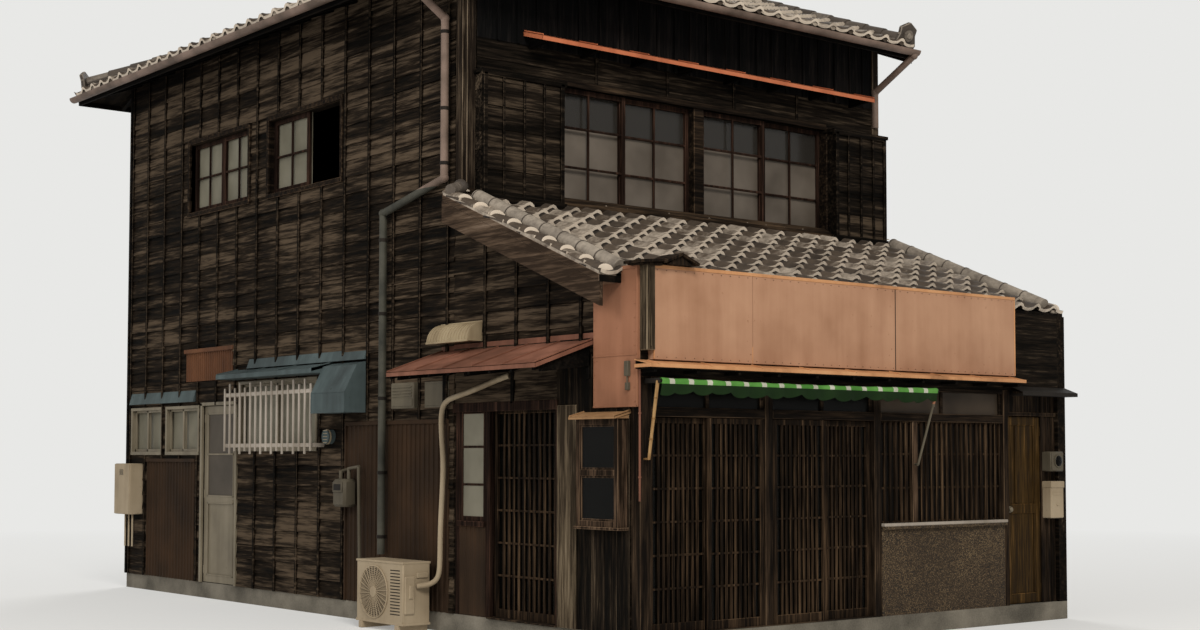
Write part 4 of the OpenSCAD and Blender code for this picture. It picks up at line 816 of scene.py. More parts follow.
bm = start()
for row in range(9):
    run = (row + 0.08) * 0.244
    for x in (-0.165, 5.614):
        foot = Vector((x, 0.205 + run, 3.03 + run * pitch))
        verge_tile(bm, foot, 0.08, 0.052, 0.262)
for x in (pent_left, 5.53):
    along_x(bm, x, [(0.203, 2.99), (2.40, 3.869), (2.40, 3.905), (0.203, 3.026)], 0.174, 0.9)
piece("pent_verge_tiles", bm, tile_clay, "pent_roof", smooth=40)

# %% [markdown]
# A ridge is a stack of flat tiles, laid in lime, under a row of half-round tiles that lap
# each other. Its lower end is closed by an upright plate tile.

# %% Ridges
plate_side = [(0.14, -0.05), (0.16, 0.0), (0.12, 0.1), (0.125, 0.17), (0.05, 0.21)]
plate = [(-0.14, -0.05)] + plate_side + [(0.0, 0.235)] + [(-y, z) for y, z in plate_side[:0:-1]]


def ridge(bm, a, b, width, courses, cap):
    a, b = Vector(a), Vector(b)
    along = (b - a).normalized()
    across = along.cross(Vector((0, 0, 1))).normalized()
    up = across.cross(along)
    length = (b - a).length
    place = Matrix.Translation(a) @ Matrix((along, across, up)).transposed().to_4x4()
    count = max(1, round(length / 0.28))
    course_h = 0.036
    for course in range(courses):
        half_w = width / 2 - 0.012 * course
        floor = course * course_h
        for k in range(count):
            left, right = length * k / count, length * (k + 1) / count
            bar(bm, (left + 0.002, -half_w - 0.008, floor), (right - 0.002, half_w + 0.008, floor + 0.026),
                0.004, None, place)
        bar(bm, (0.01, -half_w + 0.02, floor + 0.02), (length - 0.01, half_w - 0.02, floor + 0.04),
            0, 0.2, place)
    top = courses * course_h
    for k in range(count):
        left, right = length * k / count - 0.01, length * (k + 1) / count + 0.012
        tube(bm, place @ Vector((left, 0, top + 0.004)), place @ Vector((right, 0, top - 0.002)),
             cap, 16, None, cap * 0.9)
    corners = [place @ Vector((-0.02, y, z)) for y, z in plate]
    prism(bm, corners, place.to_3x3() @ Vector((-0.045, 0, 0)), 0.9, 0.008)
    for near, far, *form in ((-0.04, -0.085, 0.062, 18, 0.7), (-0.08, -0.095, 0.034, 14, 1.0, 0.026)):
        tube(bm, place @ Vector((near, 0, 0.09)), place @ Vector((far, 0, 0.09)), *form)


bm = start()
crest = crown + Vector((0, 0, 0.066))
ridge(bm, (x1 - 0.05, crest.y, crest.z), (crown.x - 0.1, crest.y, crest.z), 0.26, 4, 0.085)
piece("main_ridge", bm, ridge_clay, "roof_ridges", whole=True, smooth=40)

bm = start()
for y in (y0, y1):
    foot = Vector((x0, y, eave + 0.115))
    run = crest + Vector((0, 0, -0.01)) - foot
    ridge(bm, foot + run * 0.03, foot + run * 0.985, 0.2, 2, 0.075)
for y in (y0, y1):
    foot = Vector((x1 - 0.1, y, eave + 0.10))
    run = Vector((x1 - 0.1, crest.y, crest.z - 0.03)) - foot
    ridge(bm, foot + run * 0.02, foot + run, 0.18, 1, 0.07)
piece("hip_and_verge_ridges", bm, ridge_clay, "roof_ridges", whole=True, smooth=40)

bm = start()
for x in (-0.005, 5.459):
    foot = Vector((x, 0.24, 3.07))
    for k in range(8):
        a = foot + pent_up * (k * 0.245)
        tube(bm, a, a + pent_up * 0.262, 0.066, 16, 1.1, 0.07)
        tube(bm, a + pent_up * 0.24, a + pent_up * 0.252, 0.073, 16, 0.3)
ball_place = Matrix.Translation((-0.06, 2.40, 3.97))
bmesh.ops.create_uvsphere(bm, u_segments=16, v_segments=10, radius=0.07, matrix=ball_place)
tube(bm, (-0.07, 2.40, 3.97), (-0.24, 2.30, 3.915), 0.05, 14, 0.6)
piece("pent_rolls", bm, ridge_clay, "roof_ridges", smooth=40)

# %% [markdown]
# Where the pent roof meets the upper wall, a board keeps the rain out. Slanting boards close
# both ends of the pent roof and are paler than the walls.

# %% Upper strip and slanting boards of the pent roof
bm = start()
along_x(bm, 0.0, [(2.33, 3.93), (setback, 3.99), (setback, 3.86), (2.33, 3.84)], house_w, 0.5)
piece("pent_flashing", bm, rail_wood, "pent_roof")
dress(verge_wood, "pent_boards")
bm = start()
for x in (-0.252, 5.666):
    along_x(bm, x, [(0.202, 2.942), (2.41, 3.825), (2.41, 3.885), (0.202, 3.002)], 0.036, 1.2, 0.003)
piece("verge_strips", bm, verge_wood, "pent_boards")

# %% [markdown]
# The gutters hang in iron straps under the tiles. The downpipe is held by clips, and its
# frame shape stays. Its paint is paler on the upper storey.

# %% Gutters
pipe_paint = Finish("pipe paint", Specular_IOR_Level=0.2, Roughness=0.6)
paler_part = pipe_paint.axis("Z") > 4.02
scuffs = pipe_paint.noise(3.0, 6.0)
upper_paint = pipe_paint.ramp(scuffs, (0.35, paint(84, 70, 60)), (0.65, paint(126, 106, 94)))
lower_paint = pipe_paint.ramp(scuffs, (0.35, paint(40, 40, 34)), (0.65, paint(72, 70, 60)))
pipe_paint.shade(pipe_paint.mix(paler_part, lower_paint, upper_paint))
dress(pipe_paint, "gutters")
dress(underside_shade_wood, "eave_rafters")
bm = start()
rim, strap_gap = 5.92, 0.6
for k in range(10):
    x = x0 + 0.25 + k * strap_gap
    bar(bm, (x, y0 - 0.112, rim - 0.004), (x + 0.02, y0 + 0.03, rim + 0.004), 0.001, 0.3)
for k in range(13):
    y = y0 + 0.3 + k * strap_gap
    bar(bm, (x0 - 0.109, y, rim - 0.004), (x0 + 0.03, y + 0.02, rim + 0.004), 0.001, 0.3)
for y, heights in ((2.654, (5.4, 4.7, 4.2)), (3.684, (3.6, 2.9, 2.1, 1.4, 0.8))):
    for z in heights:
        tube(bm, (-0.068, y, z), (-0.068, y, z + 0.03), 0.042, 16, 0.2)
        bar(bm, (-0.06, y + 0.006, z), (0.0, y + 0.018, z + 0.03), 0, 0.2)
piece("gutter_straps", bm, dark_iron, "gutters", smooth=40)

# %% [markdown]
# The sliding doors are frames of planed wood filled with close upright bars, which thin
# rails cross. Every member is its own bar with softened edges, so its edges catch the light
# and each one has its own tone. Behind the bars stands a pane of glass.

# %% Lattice doors
def member(bm, wall, across, heights, depth, soft=0.003, tone=None):
    a = wall(across[0], heights[0], depth[0])
    b = wall(across[1], heights[1], depth[1])
    bar(bm, [min(p) for p in zip(a, b)], [max(p) for p in zip(a, b)], soft, tone)


def members(bm, wall, *rows):
    for row in rows:
        member(bm, wall, *row)


def leaf(bm, wall, across, heights, bars, bar_w=0.027, stile=0.048, foot=0.075, rails=5, thick=0.032):
    left, right = across
    low, high = heights
    for a, b in ((left, left + stile), (right - stile, right)):
        member(bm, wall, (a, b), heights, (0, -thick))
    for a, b in ((high - 0.046, high), (low, low + foot)):
        member(bm, wall, (left + stile, right - stile), (a, b), (-0.002, -thick + 0.002))
    inner = right - left - 2 * stile
    step = (inner - bar_w) / (bars + 1)
    for k in range(1, bars + 1):
        a = left + stile + k * step
        member(bm, wall, (a, a + bar_w), (low + foot - 0.001, high - 0.045), (-0.006, -0.02), 0.002)
    for k in range(1, rails + 1):
        z = low + foot + (high - 0.046 - low - foot) * k / (rails + 1)
        member(bm, wall, (left + stile - 0.001, right - stile + 0.001), (z, z + 0.016),
               (-0.003, -0.014), 0.001)


def pane(name, wall, across, heights, depth, body, slot, finish):
    bm = start()
    member(bm, wall, across, heights, (depth, depth - 0.004), 0.0006)
    piece(name, bm, finish, slot, body)


def lattice_door(door, wall, across, heights, bars, pull=False):
    (left, right), (low, high) = across, heights
    bm = start()
    leaf(bm, wall, across, heights, bars)
    if pull:
        member(bm, wall, (left + 0.014, left + 0.034), (low + 0.78, low + 0.88), (0.0006, -0.002), 0.002, 0.0)
    piece(door + "_leaf", bm, lattice_wood, door, door, whole=True)
    pane(door + "_glass", wall, (left + 0.04, right - 0.04), (low + 0.07, high - 0.04), -0.024,
         door, door, dark_pane)


for number in range(1, 5):
    door = f"front_door_{number}"
    a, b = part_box(door)
    lattice_door(door, front_wall(a.y), (a.x, b.x), (a.z, b.z), 9, True)
door_low, door_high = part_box("side_door")
side_face = lambda along, up, out: Vector((door_low.x - out, along, up))
lattice_door("side_door", side_face, (door_low.y, door_high.y), (door_low.z, door_high.z), 11)

# %% [markdown]
# Posts, rails and the lattice of the shop window are heavier timbers. Weather has rounded
# their edges. The short panels over the doors are pale old glass behind a dark frame.

# %% Shop front timbers
shop = front_wall(0.0)
bm = start()
for a, b in ((0.0, 0.12), (1.365, 1.455), (2.70, 2.79), (4.50, 4.575)):
    member(bm, shop, (a, b), (0.17, 2.2), (0.0, -0.11), 0.006, chance.uniform(0.5, 1.1))
piece("shop_posts", bm, frame_wood, "front_posts", whole=True)
bm = start()
tube(bm, (-0.014, -0.012, 1.22), (-0.014, -0.012, 2.25), 0.009, 12, 0.5)
for z in (1.4, 1.9):
    tube(bm, (-0.014, -0.012, z), (-0.014, -0.012, z + 0.015), 0.013, 12, 0.2)
piece("thin_conduit", bm, canopy_copper, "front_posts", smooth=40)

bays = ((0.12, 1.365), (1.455, 2.70), (2.79, 4.50))
bm = start()
for a, b in bays:
    members(bm, shop, ((a, b), (1.885, 1.96), (-0.002, -0.108), 0.005, 0.9),
            ((a, b), (2.16, 2.2), (-0.004, -0.106), 0.004),
            ((a, b), (1.85, 1.887), (-0.09, -0.108), 0.002))
    for x in (a + 0.012, (a + b) / 2, b - 0.012):
        member(bm, shop, (x - 0.016, x + 0.016), (1.958, 2.162), (-0.03, -0.06), 0.003)
piece("shop_rails", bm, rail_wood, "front_rails", whole=True)
for name, (a, b), finish in zip(("left", "middle", "right"), bays, (dark_pane, dark_pane, brown_pane)):
    pane(f"transom_pane_{name}", shop, (a + 0.002, b - 0.002), (1.955, 2.165), -0.05,
         "house", "front_rails", finish)

bm = start()
step = (1.71 - 0.032) / 24
for k in range(25):
    a = 2.79 + k * step
    member(bm, shop, (a, a + 0.032), (0.982, 1.885), (-0.0275, -0.051), 0.003)
for z in (0.982, 1.283, 1.585, 1.869):
    member(bm, shop, (2.79, 4.50), (z, z + 0.016), (-0.04, -0.063), 0.002)
piece("shop_window_bars", bm, lattice_wood, "shop_lattice", whole=True)
bm = start()
member(bm, shop, (3.22, 3.29), (0.982, 1.885), (-0.014, -0.066), 0.004, 1.2)
piece("shop_window_post", bm, case_wood, "shop_lattice")

# %% [markdown]
# The panel under the shop window is concrete with pebbles, and its sill is a thin pale slab.

# %% Panel and base
dress(pebble, "wainscot")
dress(concrete, "foundation")
bm = start()
member(bm, shop, (2.785, 4.505), (0.955, 0.982), (0.04, -0.02), 0.005, 2.2)
piece("sill_slab", bm, white_bars, "wainscot")
bm = start()
member(bm, shop, (0.12, 2.79), (0.17, 0.178), (0.006, -0.1), 0.002, 0.6)
piece("door_track", bm, rail_wood, "foundation")

# %% [markdown]
# The false front is made of three copper sheets nailed to a frame. Folded seams join them,
# the top edge is turned over, and dents show that the sheets are thin. Each sheet is a fine
# grid pushed in and out by a few millimetres, which the light picks up.

# %% False front
def dent(x, z):
    wave = math.sin(x * 4.1 + 1.3) * math.sin(z * 6.3 + x * 1.7) + 0.6 * math.sin(x * 9.7 + z * 5.2)
    return 0.003 * wave


def copper_sheet(bm, across, heights, wall, out, nx, nz, knock=0.0):
    grid = bmesh.ops.create_grid(bm, x_segments=nx, y_segments=nz, size=0.5)["verts"]
    for v in grid:
        x = across[0] + (v.co.x + 0.5) * (across[1] - across[0])
        z = heights[0] + (v.co.y + 0.5) * (heights[1] - heights[0])
        edge = min(v.co.x + 0.5, 0.5 - v.co.x, v.co.y + 0.5, 0.5 - v.co.y)
        crease = knock * math.exp(-((x - 0.42) ** 2 / 0.03 + (z - 2.62 - 0.1 * x) ** 2 / 0.002))
        v.co = wall(x, z, out + crease + (dent(x, z) if edge > 0.01 else 0.0))
    faces = list({f for v in grid for f in v.link_faces})
    pushed = bmesh.ops.extrude_face_region(bm, geom=faces, use_keep_orig=True)["geom"]
    back_face = [g for g in pushed if isinstance(g, bmesh.types.BMVert)]
    bmesh.ops.translate(bm, verts=back_face, vec=wall(0, 0, -0.003) - wall(0, 0, 0))


dress(sign_copper, "sign_board")
bm = start()
for a, b in ((0.086, 1.158), (1.162, 2.908), (2.912, 4.598)):
    copper_sheet(bm, (a, b), (2.332, 3.06), shop, 0.0645, int((b - a) * 22), 16, 0.009)
piece("sign_sheets", bm, sign_copper, "sign_board", smooth=60)
bm = start()
members(bm, shop, ((0.08, 4.604), (3.05, 3.078), (0.07, -0.002), 0.003),
        ((0.084, 0.094), (2.332, 3.05), (0.0685, 0.055), 0.002),
        ((4.59, 4.602), (2.332, 3.05), (0.0685, 0.0), 0.002),
        ((1.155, 1.163), (2.332, 2.47), (0.066, 0.06), 0.001))
piece("sign_trim", bm, edge_copper, "sign_board", smooth=40)
bm = start()
member(bm, shop, (2.906, 2.914), (2.332, 3.05), (0.0675, 0.06), 0.001)
for k in range(46):
    for z in (2.35, 3.035):
        x = 0.12 + k * 0.0985
        tube(bm, (x, -0.064, z), (x, -0.0685, z), 0.003, 8, 0.2)
piece("sign_seam_and_nails", bm, dark_iron, "sign_board", smooth=40)

# %% [markdown]
# The left side of the false front is closed by two sheets with one seam across.

# %% Side panel of the false front
def sign_side(along, up, out):
    return Vector((-0.025 - out, along, up))


bm = start()
copper_sheet(bm, (0.002, 0.548), (1.96, 2.368), sign_side, 0.004, 12, 9)
copper_sheet(bm, (0.002, 0.196), (2.372, 3.06), sign_side, 0.004, 5, 15)
copper_sheet(bm, (0.196, 0.548), (2.372, 2.945), sign_side, 0.004, 8, 12)
piece("side_panel_sheets", bm, side_copper, "sign_board", smooth=60)
bm = start()
members(bm, sign_side, ((0.0, 0.55), (2.363, 2.376), (0.009, 0.0), 0.002),
        ((0.0, 0.55), (1.958, 1.972), (0.009, 0.0), 0.002),
        ((-0.004, 0.012), (1.958, 3.07), (0.009, -0.02), 0.003),
        ((0.0, 0.2), (3.045, 3.075), (0.012, -0.02), 0.003))
for k in range(9):
    for y in (0.03, 0.53):
        z = 2.0 + k * 0.11
        tube(bm, (-0.028, y, z), (-0.034, y, z), 0.004, 8, 0.2)
piece("side_panel_trim", bm, side_copper, "sign_board", smooth=40)
bm = start()
member(bm, sign_side, (0.08, 0.13), (2.20, 2.32), (0.035, 0.0), 0.004)
member(bm, sign_side, (0.085, 0.125), (2.09, 2.15), (0.03, 0.0), 0.004)
tube(bm, (-0.045, 0.105, 2.15), (-0.045, 0.105, 2.2), 0.006, 10)
piece("small_switch_box", bm, grey_enamel, "sign_board", smooth=40)

# %% [markdown]
# The corner post of the false front carries a small cap: a flat board over the post and a
# little gable of two boards beside it. Under the copper runs a sloping ledge of orange
# copper with an edge of wood below it, nearly black with painted shade.

# %% Corner post, cap and ledge
bm = start()
bar(bm, (-0.006, -0.09, 2.40), (0.084, 0.0, 3.07), 0.007, 1.1)
bar(bm, (0.03, -0.098, 2.43), (0.04, -0.089, 3.05), 0.001, 0.0)
piece("weathered_post", bm, pale_board, "sign_post", whole=True)
bm = start()
for foot, peak in ((0.13, 0.31), (0.49, 0.31)):
    along_y(bm, -0.16, [(foot, 3.082), (peak, 3.154), (peak, 3.176), (foot, 3.104)], 0.26, 0.8, 0.002)
along_y(bm, -0.13, [(0.17, 3.08), (0.45, 3.08), (0.31, 3.15)], 0.2, 0.1)
along_y(bm, -0.14, [(-0.106, 3.076), (0.16, 3.10), (0.16, 3.122), (-0.106, 3.098)], 0.22, 0.6, 0.002)
along_y(bm, -0.11, [(-0.09, 3.066), (0.14, 3.066), (0.14, 3.09), (-0.09, 3.078)], 0.16, 0.2, 0.002)
tube(bm, (0.31, -0.16, 3.168), (0.31, 0.10, 3.168), 0.008, 10, 0.6)
piece("post_cap", bm, frame_wood, "sign_post", smooth=40)

bm = start()
along_x(bm, -0.06, [(-0.19, 2.282), (0.0, 2.322), (0.0, 2.33), (-0.19, 2.29)], 4.66)
for k in range(9):
    fold = [(-0.192, 2.283), (-0.062, 2.311), (-0.062, 2.326), (-0.192, 2.298)]
    along_x(bm, 0.02 + k * 0.56, fold, 0.012, None, 0.002)
bar(bm, (-0.062, -0.192, 2.262), (4.602, -0.186, 2.292), 0.002)
bar(bm, (-0.062, -0.19, 2.262), (-0.056, 0.0, 2.29), 0.002)
piece("ledge_sheet", bm, edge_copper, "sign_ledge", whole=True, smooth=30)
bm = start()
bar(bm, (-0.05, -0.183, 2.252), (4.595, -0.02, 2.27), 0.003, 0.4)
bar(bm, (-0.05, -0.02, 2.252), (4.595, 0.0, 2.33), 0.003, 0.4)
for k in range(11):
    x = 0.0 + k * 0.45
    bar(bm, (x, -0.17, 2.225), (x + 0.03, 0.0, 2.254), 0.003, 0.4)
piece("ledge_boards", bm, underside_shade_wood, "sign_ledge")

# %% [markdown]
# The awning is rolled up under the ledge. It is one sheet of cloth: two and a half turns
# round its tube, and a scalloped valance that hangs from the roll. A grid is bent into that
# shape by its place along the cloth, so the cut size of the sheet is known.

# %% Rolled awning
turns = 2.5
inner_r, outer_r = 0.014, 0.022
rolled = (inner_r + outer_r) / 2 * turns * 2 * math.pi
hanging = 0.12
cloth_l = rolled + hanging
roll_y, roll_z = -0.165, 2.16
cloth_left, cloth_w = 0.07, 3.335 - 0.07


def cloth_point(x, s):
    sag = 0.012 * math.sin((x - cloth_left) / cloth_w * math.pi)
    if s < rolled:
        part = s / rolled
        angle = math.pi - (1 - part) * turns * 2 * math.pi
        radius = inner_r + (outer_r - inner_r) * part + 0.002 * math.sin(x * 23)
        return Vector((x, roll_y + radius * math.cos(angle), roll_z + radius * math.sin(angle) - sag))
    drop = (s - rolled) / hanging
    waves = 0.2 * abs(math.sin(math.pi * x / 0.2)) + 0.14 * math.sin(x * 4.3 + 1.0) * math.sin(x * 11.0)
    scallop = 0.66 + waves
    fold = 0.012 * drop * math.sin(x * 31) + 0.008 * drop * math.sin(x * 13.7 + 1)
    return Vector((x, roll_y - outer_r + fold + 0.012 * drop, roll_z - sag - drop * hanging * scallop))


bm = start()
grid = bmesh.ops.create_grid(bm, x_segments=200, y_segments=60, size=0.5)["verts"]
for v in grid:
    v.co = cloth_point(cloth_left + (v.co.x + 0.5) * cloth_w, (v.co.y + 0.5) * cloth_l)
tint(bm, bm.faces, 0.5)
awning_cloth = piece("awning_cloth", bm, cloth, "awning", whole=True, smooth=60)
thin = awning_cloth.modifiers.new("thickness", "SOLIDIFY")
thin.thickness = 0.0015

bm = start()
tube(bm, (0.05, roll_y, roll_z - 0.006), (3.35, roll_y, roll_z - 0.006), 0.01, 16, 0.6)
for x in (0.04, 3.345):
    bar(bm, (x - 0.008, roll_y - 0.02, roll_z - 0.02), (x + 0.008, 0.0, roll_z + 0.02), 0.003, 0.4)
piece("awning_tube", bm, dark_iron, "awning", smooth=40)
bm = start()
arm_top, arm_foot = Vector((3.345, roll_y, roll_z)), Vector((3.205, -0.06, 1.50))
elbow = arm_top.lerp(arm_foot, 0.2)
tube(bm, arm_top, elbow, 0.013, 12, 0.8)
piece("awning_arm_top", bm, side_copper, "awning", smooth=40)
bm = start()
tube(bm, elbow, arm_foot, 0.011, 12, 0.8)
tube(bm, elbow + Vector((0, 0, 0.012)), elbow - Vector((0, 0, 0.012)), 0.016, 12, 0.3)
tube(bm, arm_foot, arm_foot + Vector((0.02, 0.05, 0.0)), 0.012, 12, 0.5)
piece("awning_arm", bm, grey_enamel, "awning", smooth=40)
bm = start()
tube(bm, (0.04, roll_y, roll_z), (0.04, -0.057, 1.545), 0.014, 14, 1.0, 0.012)
for k in range(3):
    z = 1.7 + k * 0.16
    y = -0.057 + (z - 1.545) / (roll_z - 1.545) * (roll_y + 0.057)
    tube(bm, (0.04, y, z), (0.04, y - 0.002, z + 0.012), 0.016, 14, 0.2)
tube(bm, (0.04, -0.06, 1.55), (0.04, 0.0, 1.55), 0.008, 10, 0.5)
piece("awning_pole", bm, bamboo, "awning", smooth=40)

# %% [markdown]
# The upper windows are reddish sashes, two panes wide and three high, that slide in two
# tracks. A heavy sill beam runs under them and a dark post stands in the middle.

# %% Upper windows
def sash(bm, wall, across, heights, front, columns=2, rows=3, thick=0.034, edge=0.045, muntin=0.02):
    left, right = across
    low, high = heights
    for a, b in ((left, left + edge), (right - edge, right)):
        member(bm, wall, (a, b), heights, (front, front - thick))
    for a, b in ((low, low + edge * 1.3), (high - edge, high)):
        member(bm, wall, (left + edge, right - edge), (a, b), (front - 0.002, front - thick + 0.002))
    for k in range(1, columns):
        x = left + (right - left) * k / columns
        member(bm, wall, (x - muntin / 2, x + muntin / 2), (low + edge, high - edge),
               (front - 0.006, front - thick + 0.008), 0.002)
    for k in range(1, rows):
        z = low + (high - low) * k / rows
        member(bm, wall, (left + edge, right - edge), (z - muntin / 2, z + muntin / 2),
               (front - 0.004, front - thick + 0.006), 0.002)


half_row = (4.64 - 1.0 - 0.13) / 2
bm = start()
for x in (1.0, 1.0 + half_row + 0.13):
    sash(bm, upper, (x, x + half_row / 2 + 0.024), (3.92, 5.04), -0.034)
    sash(bm, upper, (x + half_row / 2 - 0.024, x + half_row), (3.92, 5.04), -0.069)
for a, b in ((5.295, 6.03), (6.50, 7.2), (7.2, 7.9)):
    sash(bm, side_wall, (a, b), (4.33, 5.11), -0.034, 2, 2)
piece("upper_sashes", bm, sash_wood, "wooden_sashes", whole=True)

bm = start()
members(bm, upper, ((2.755, 2.885), (3.92, 5.04), (0.012, -0.12), 0.005, 0.8),
        ((1.0, 4.64), (5.04, 5.10), (0.028, -0.02), 0.005, 0.2),
        ((1.034, 4.606), (3.86, 3.925), (0.075, -0.02), 0.006, 0.9),
        ((1.034, 4.606), (3.83, 3.862), (0.05, -0.02), 0.004, 0.3))
for x in (0.985, 4.625):
    member(bm, upper, (x, x + 0.03), (3.92, 5.06), (0.04, -0.1), 0.004, 0.5)
piece("window_timbers", bm, rail_wood, "wooden_sashes")

bm = start()
for a, b in ((4.56, 6.03), (6.50, 7.90)):
    members(bm, side_wall, ((a - 0.04, b + 0.04), (4.28, 4.33), (0.045, -0.05), 0.005, 1.0),
            ((a - 0.04, b + 0.04), (5.11, 5.16), (0.045, -0.05), 0.005, 0.5))
    for y in (a - 0.045, b):
        member(bm, side_wall, (y, y + 0.045), (4.30, 5.14), (0.04, -0.05), 0.005, 0.5)
piece("side_window_trim", bm, rail_wood, "wooden_sashes")
dress(window_glass, "front_glass")
dress(sky_reflection_pane, "side_glass")

# %% [markdown]
# The hood over the upper windows is a sheet of copper on thin boards, with small brackets.
# The side canopy is made the same way but of pink-brown sheet with folded seams.

# %% Copper hood and side canopy
def sheet_roof(bm, wall, across, top, drop, out, seams, thick=0.006, lip=0.045):
    left, right = across
    fall = top - drop

    def strip(x, width, under, soft=0.0):
        corners = [wall(x, top, 0), wall(x, fall, out), wall(x, fall - under, out), wall(x, top - under, 0)]
        prism(bm, corners, wall(x + width, top, 0) - wall(x, top, 0), None, soft)

    strip(left, right - left, thick)
    member(bm, wall, across, (fall - lip, fall), (out, out - 0.004), 0.001)
    for end in (left, right - 0.004):
        strip(end, 0.004, lip)
    for k in range(seams + 1):
        x = left + 0.006 + (right - left - 0.024) * k / seams
        strip(x, 0.009, -0.012, 0.001)


dress(underside_shade_wood, "window_hood")
bm = start()
sheet_roof(bm, upper, (0.64, 5.10), 5.49, 0.09, 0.30, 7)
piece("hood_sheet", bm, hood_copper, "window_hood", whole=True)
bm = start()
along_x(bm, 0.66, [(setback, 5.482), (2.134, 5.394), (2.134, 5.372), (setback, 5.455)], 4.42, 0.3)
bracket = [(setback, 5.46), (2.15, 5.38), (2.15, 5.35), (setback, 5.33)]
for k in range(8):
    along_x(bm, 0.70 + k * 0.615, bracket, 0.03, None, 0.002)
piece("hood_boards", bm, underside_shade_wood, "window_hood")

bm = start()
sheet_roof(bm, side_wall, (0.565, 2.765), 2.52, 0.21, 0.60, 5, lip=0.04)
member(bm, side_wall, (0.565, 2.765), (2.515, 2.57), (0.012, 0.0), 0.002)
piece("side_canopy_sheet", bm, canopy_copper, "side_canopy", whole=True)
bm = start()
along_y(bm, 0.575, [(0, 2.512), (-0.592, 2.302), (-0.592, 2.272), (0, 2.482)], 2.18, 0.3)
rafter = [(-0.02, 2.478), (-0.585, 2.276), (-0.585, 2.246), (-0.02, 2.43)]
for k in range(8):
    along_y(bm, 0.60 + k * 0.298, rafter, 0.035, None, 0.002)
for y in (0.605, 1.645, 2.685):
    along_y(bm, y, [(0, 2.45), (-0.51, 2.268), (-0.51, 2.24), (0, 2.30)], 0.04, None, 0.004)
    bar(bm, (-0.03, y, 2.02 if y > 1 else 2.2), (0.0, y + 0.04, 2.45), 0.004)
piece("side_canopy_boards", bm, underside_shade_wood, "side_canopy")

# %% [markdown]
# On the side canopy lies an old ribbed plastic cover, curved like a barrel. It is a half
# ring with ribs, closed at both ends.

# %% Curved ribbed cover
dress(pale_tin, "lamp_hood")
bm = start()
for k in range(15):
    y = 2.13 + k * 0.0445
    tube(bm, (0, y, 2.58), (0, y + 0.016, 2.58), 0.176, 28)
for point, normal in (((0, 0, 2.58), (0, 0, -1)), ((0, 0, 0), (1, 0, 0))):
    bmesh.ops.bisect_plane(bm, geom=bm.verts[:] + bm.edges[:] + bm.faces[:],
                           plane_co=point, plane_no=normal, clear_outer=True)
bmesh.ops.holes_fill(bm, edges=[e for e in bm.edges if e.is_boundary])
bar(bm, (-0.185, 2.12, 2.572), (-0.165, 2.77, 2.592), 0.003, 0.5)
bar(bm, (-0.02, 2.12, 2.74), (0.0, 2.77, 2.762), 0.003, 0.5)
piece("curved_cover_ribs", bm, pale_tin, "lamp_hood", smooth=40)

# %% [markdown]
# Side entrance. Posts stand beside the sliding door, with a narrow window of three panes and
# a ribbed brown panel below it.

# %% Side entrance frame
bm = start()
for a, b in ((2.02, 2.08), (2.48, 2.54)):
    member(bm, side_wall, (a, b), (0.17, 1.99), (0.004, -0.048), 0.004)
members(bm, side_wall, ((1.03, 2.56), (1.96, 2.04), (0.03, 0.0), 0.004, 0.4),
        ((1.03, 1.06), (0.17, 1.96), (0.02, -0.04), 0.004, 1.2),
        ((2.08, 2.48), (0.955, 1.0), (0.03, -0.02), 0.004, 0.8))
sash(bm, side_wall, (2.08, 2.48), (0.99, 1.985), 0.0, 1, 3, 0.024, 0.04)
piece("side_entrance_timbers", bm, sash_wood, "side_frame", whole=True)
pane("side_entrance_glass", side_wall, (2.1, 2.46), (1.01, 1.97), -0.012, "house", "side_frame", sky_reflection_pane)


def ribbed(bm, wall, across, heights, rib=0.076, depth=0.012):
    member(bm, wall, across, heights, (0.003, 0.0), 0.0005, 0.5)
    left = across[0] + rib * 0.25
    bottom, top = heights
    while left + rib * 0.5 < across[1]:
        a, b = left, left + rib * 0.5
        slant = rib * 0.1
        points = [wall(a, bottom, 0), wall(a + slant, bottom, depth),
                  wall(b - slant, bottom, depth), wall(b, bottom, 0)]
        prism(bm, points, wall(a, top, 0) - wall(a, bottom, 0), None)
        left += rib


bm = start()
member(bm, side_wall, (2.08, 2.48), (0.17, 0.96), (0.0, -0.02), 0.002, 0.4)
ribbed(bm, side_wall, (2.085, 2.475), (0.18, 0.955), 0.066, 0.008)
piece("side_entrance_panel", bm, brown_sheet, "side_frame")
bm = start()
member(bm, side_wall, (1.04, 2.03), (0.165, 0.178), (0.03, -0.1), 0.003, 0.6)
piece("side_door_track", bm, rail_wood, "side_frame")

# %% [markdown]
# Sheets of brown ribbed metal cover the foot of the wall, with a cap strip along the top and
# a small roll of flashing where they stop.

# %% Ribbed sheets
bm = start()
ribbed(bm, side_wall, (2.64, 4.44), (0.17, 1.87))
ribbed(bm, side_wall, (7.72, 8.995), (0.17, 1.50))
for a, b, top in ((2.64, 4.44, 1.906), (7.72, 8.995, 1.54)):
    member(bm, side_wall, (a, b), (top - 0.04, top), (0.028, 0.0), 0.005, 0.9)
for y in (2.63, 4.42):
    member(bm, side_wall, (y, y + 0.022), (0.17, 1.9), (0.024, 0.0), 0.003, 0.5)
piece("ribbed_sheets_low", bm, brown_sheet, "ribbed_sheets", whole=True)
bm = start()
ribbed(bm, side_wall, (6.84, 7.99), (2.41, 2.74), 0.052, 0.013)
member(bm, side_wall, (6.82, 8.01), (2.73, 2.776), (0.028, 0.0), 0.004, 0.9)
piece("ribbed_patch", bm, rust_sheet, "ribbed_sheets")

# %% [markdown]
# Metal windows: two sliding panes in a thin aluminium frame each. The kitchen window has a
# projecting grille of upright bars under a tin canopy.

# %% Metal windows
dress(aluminium, "metal_windows")


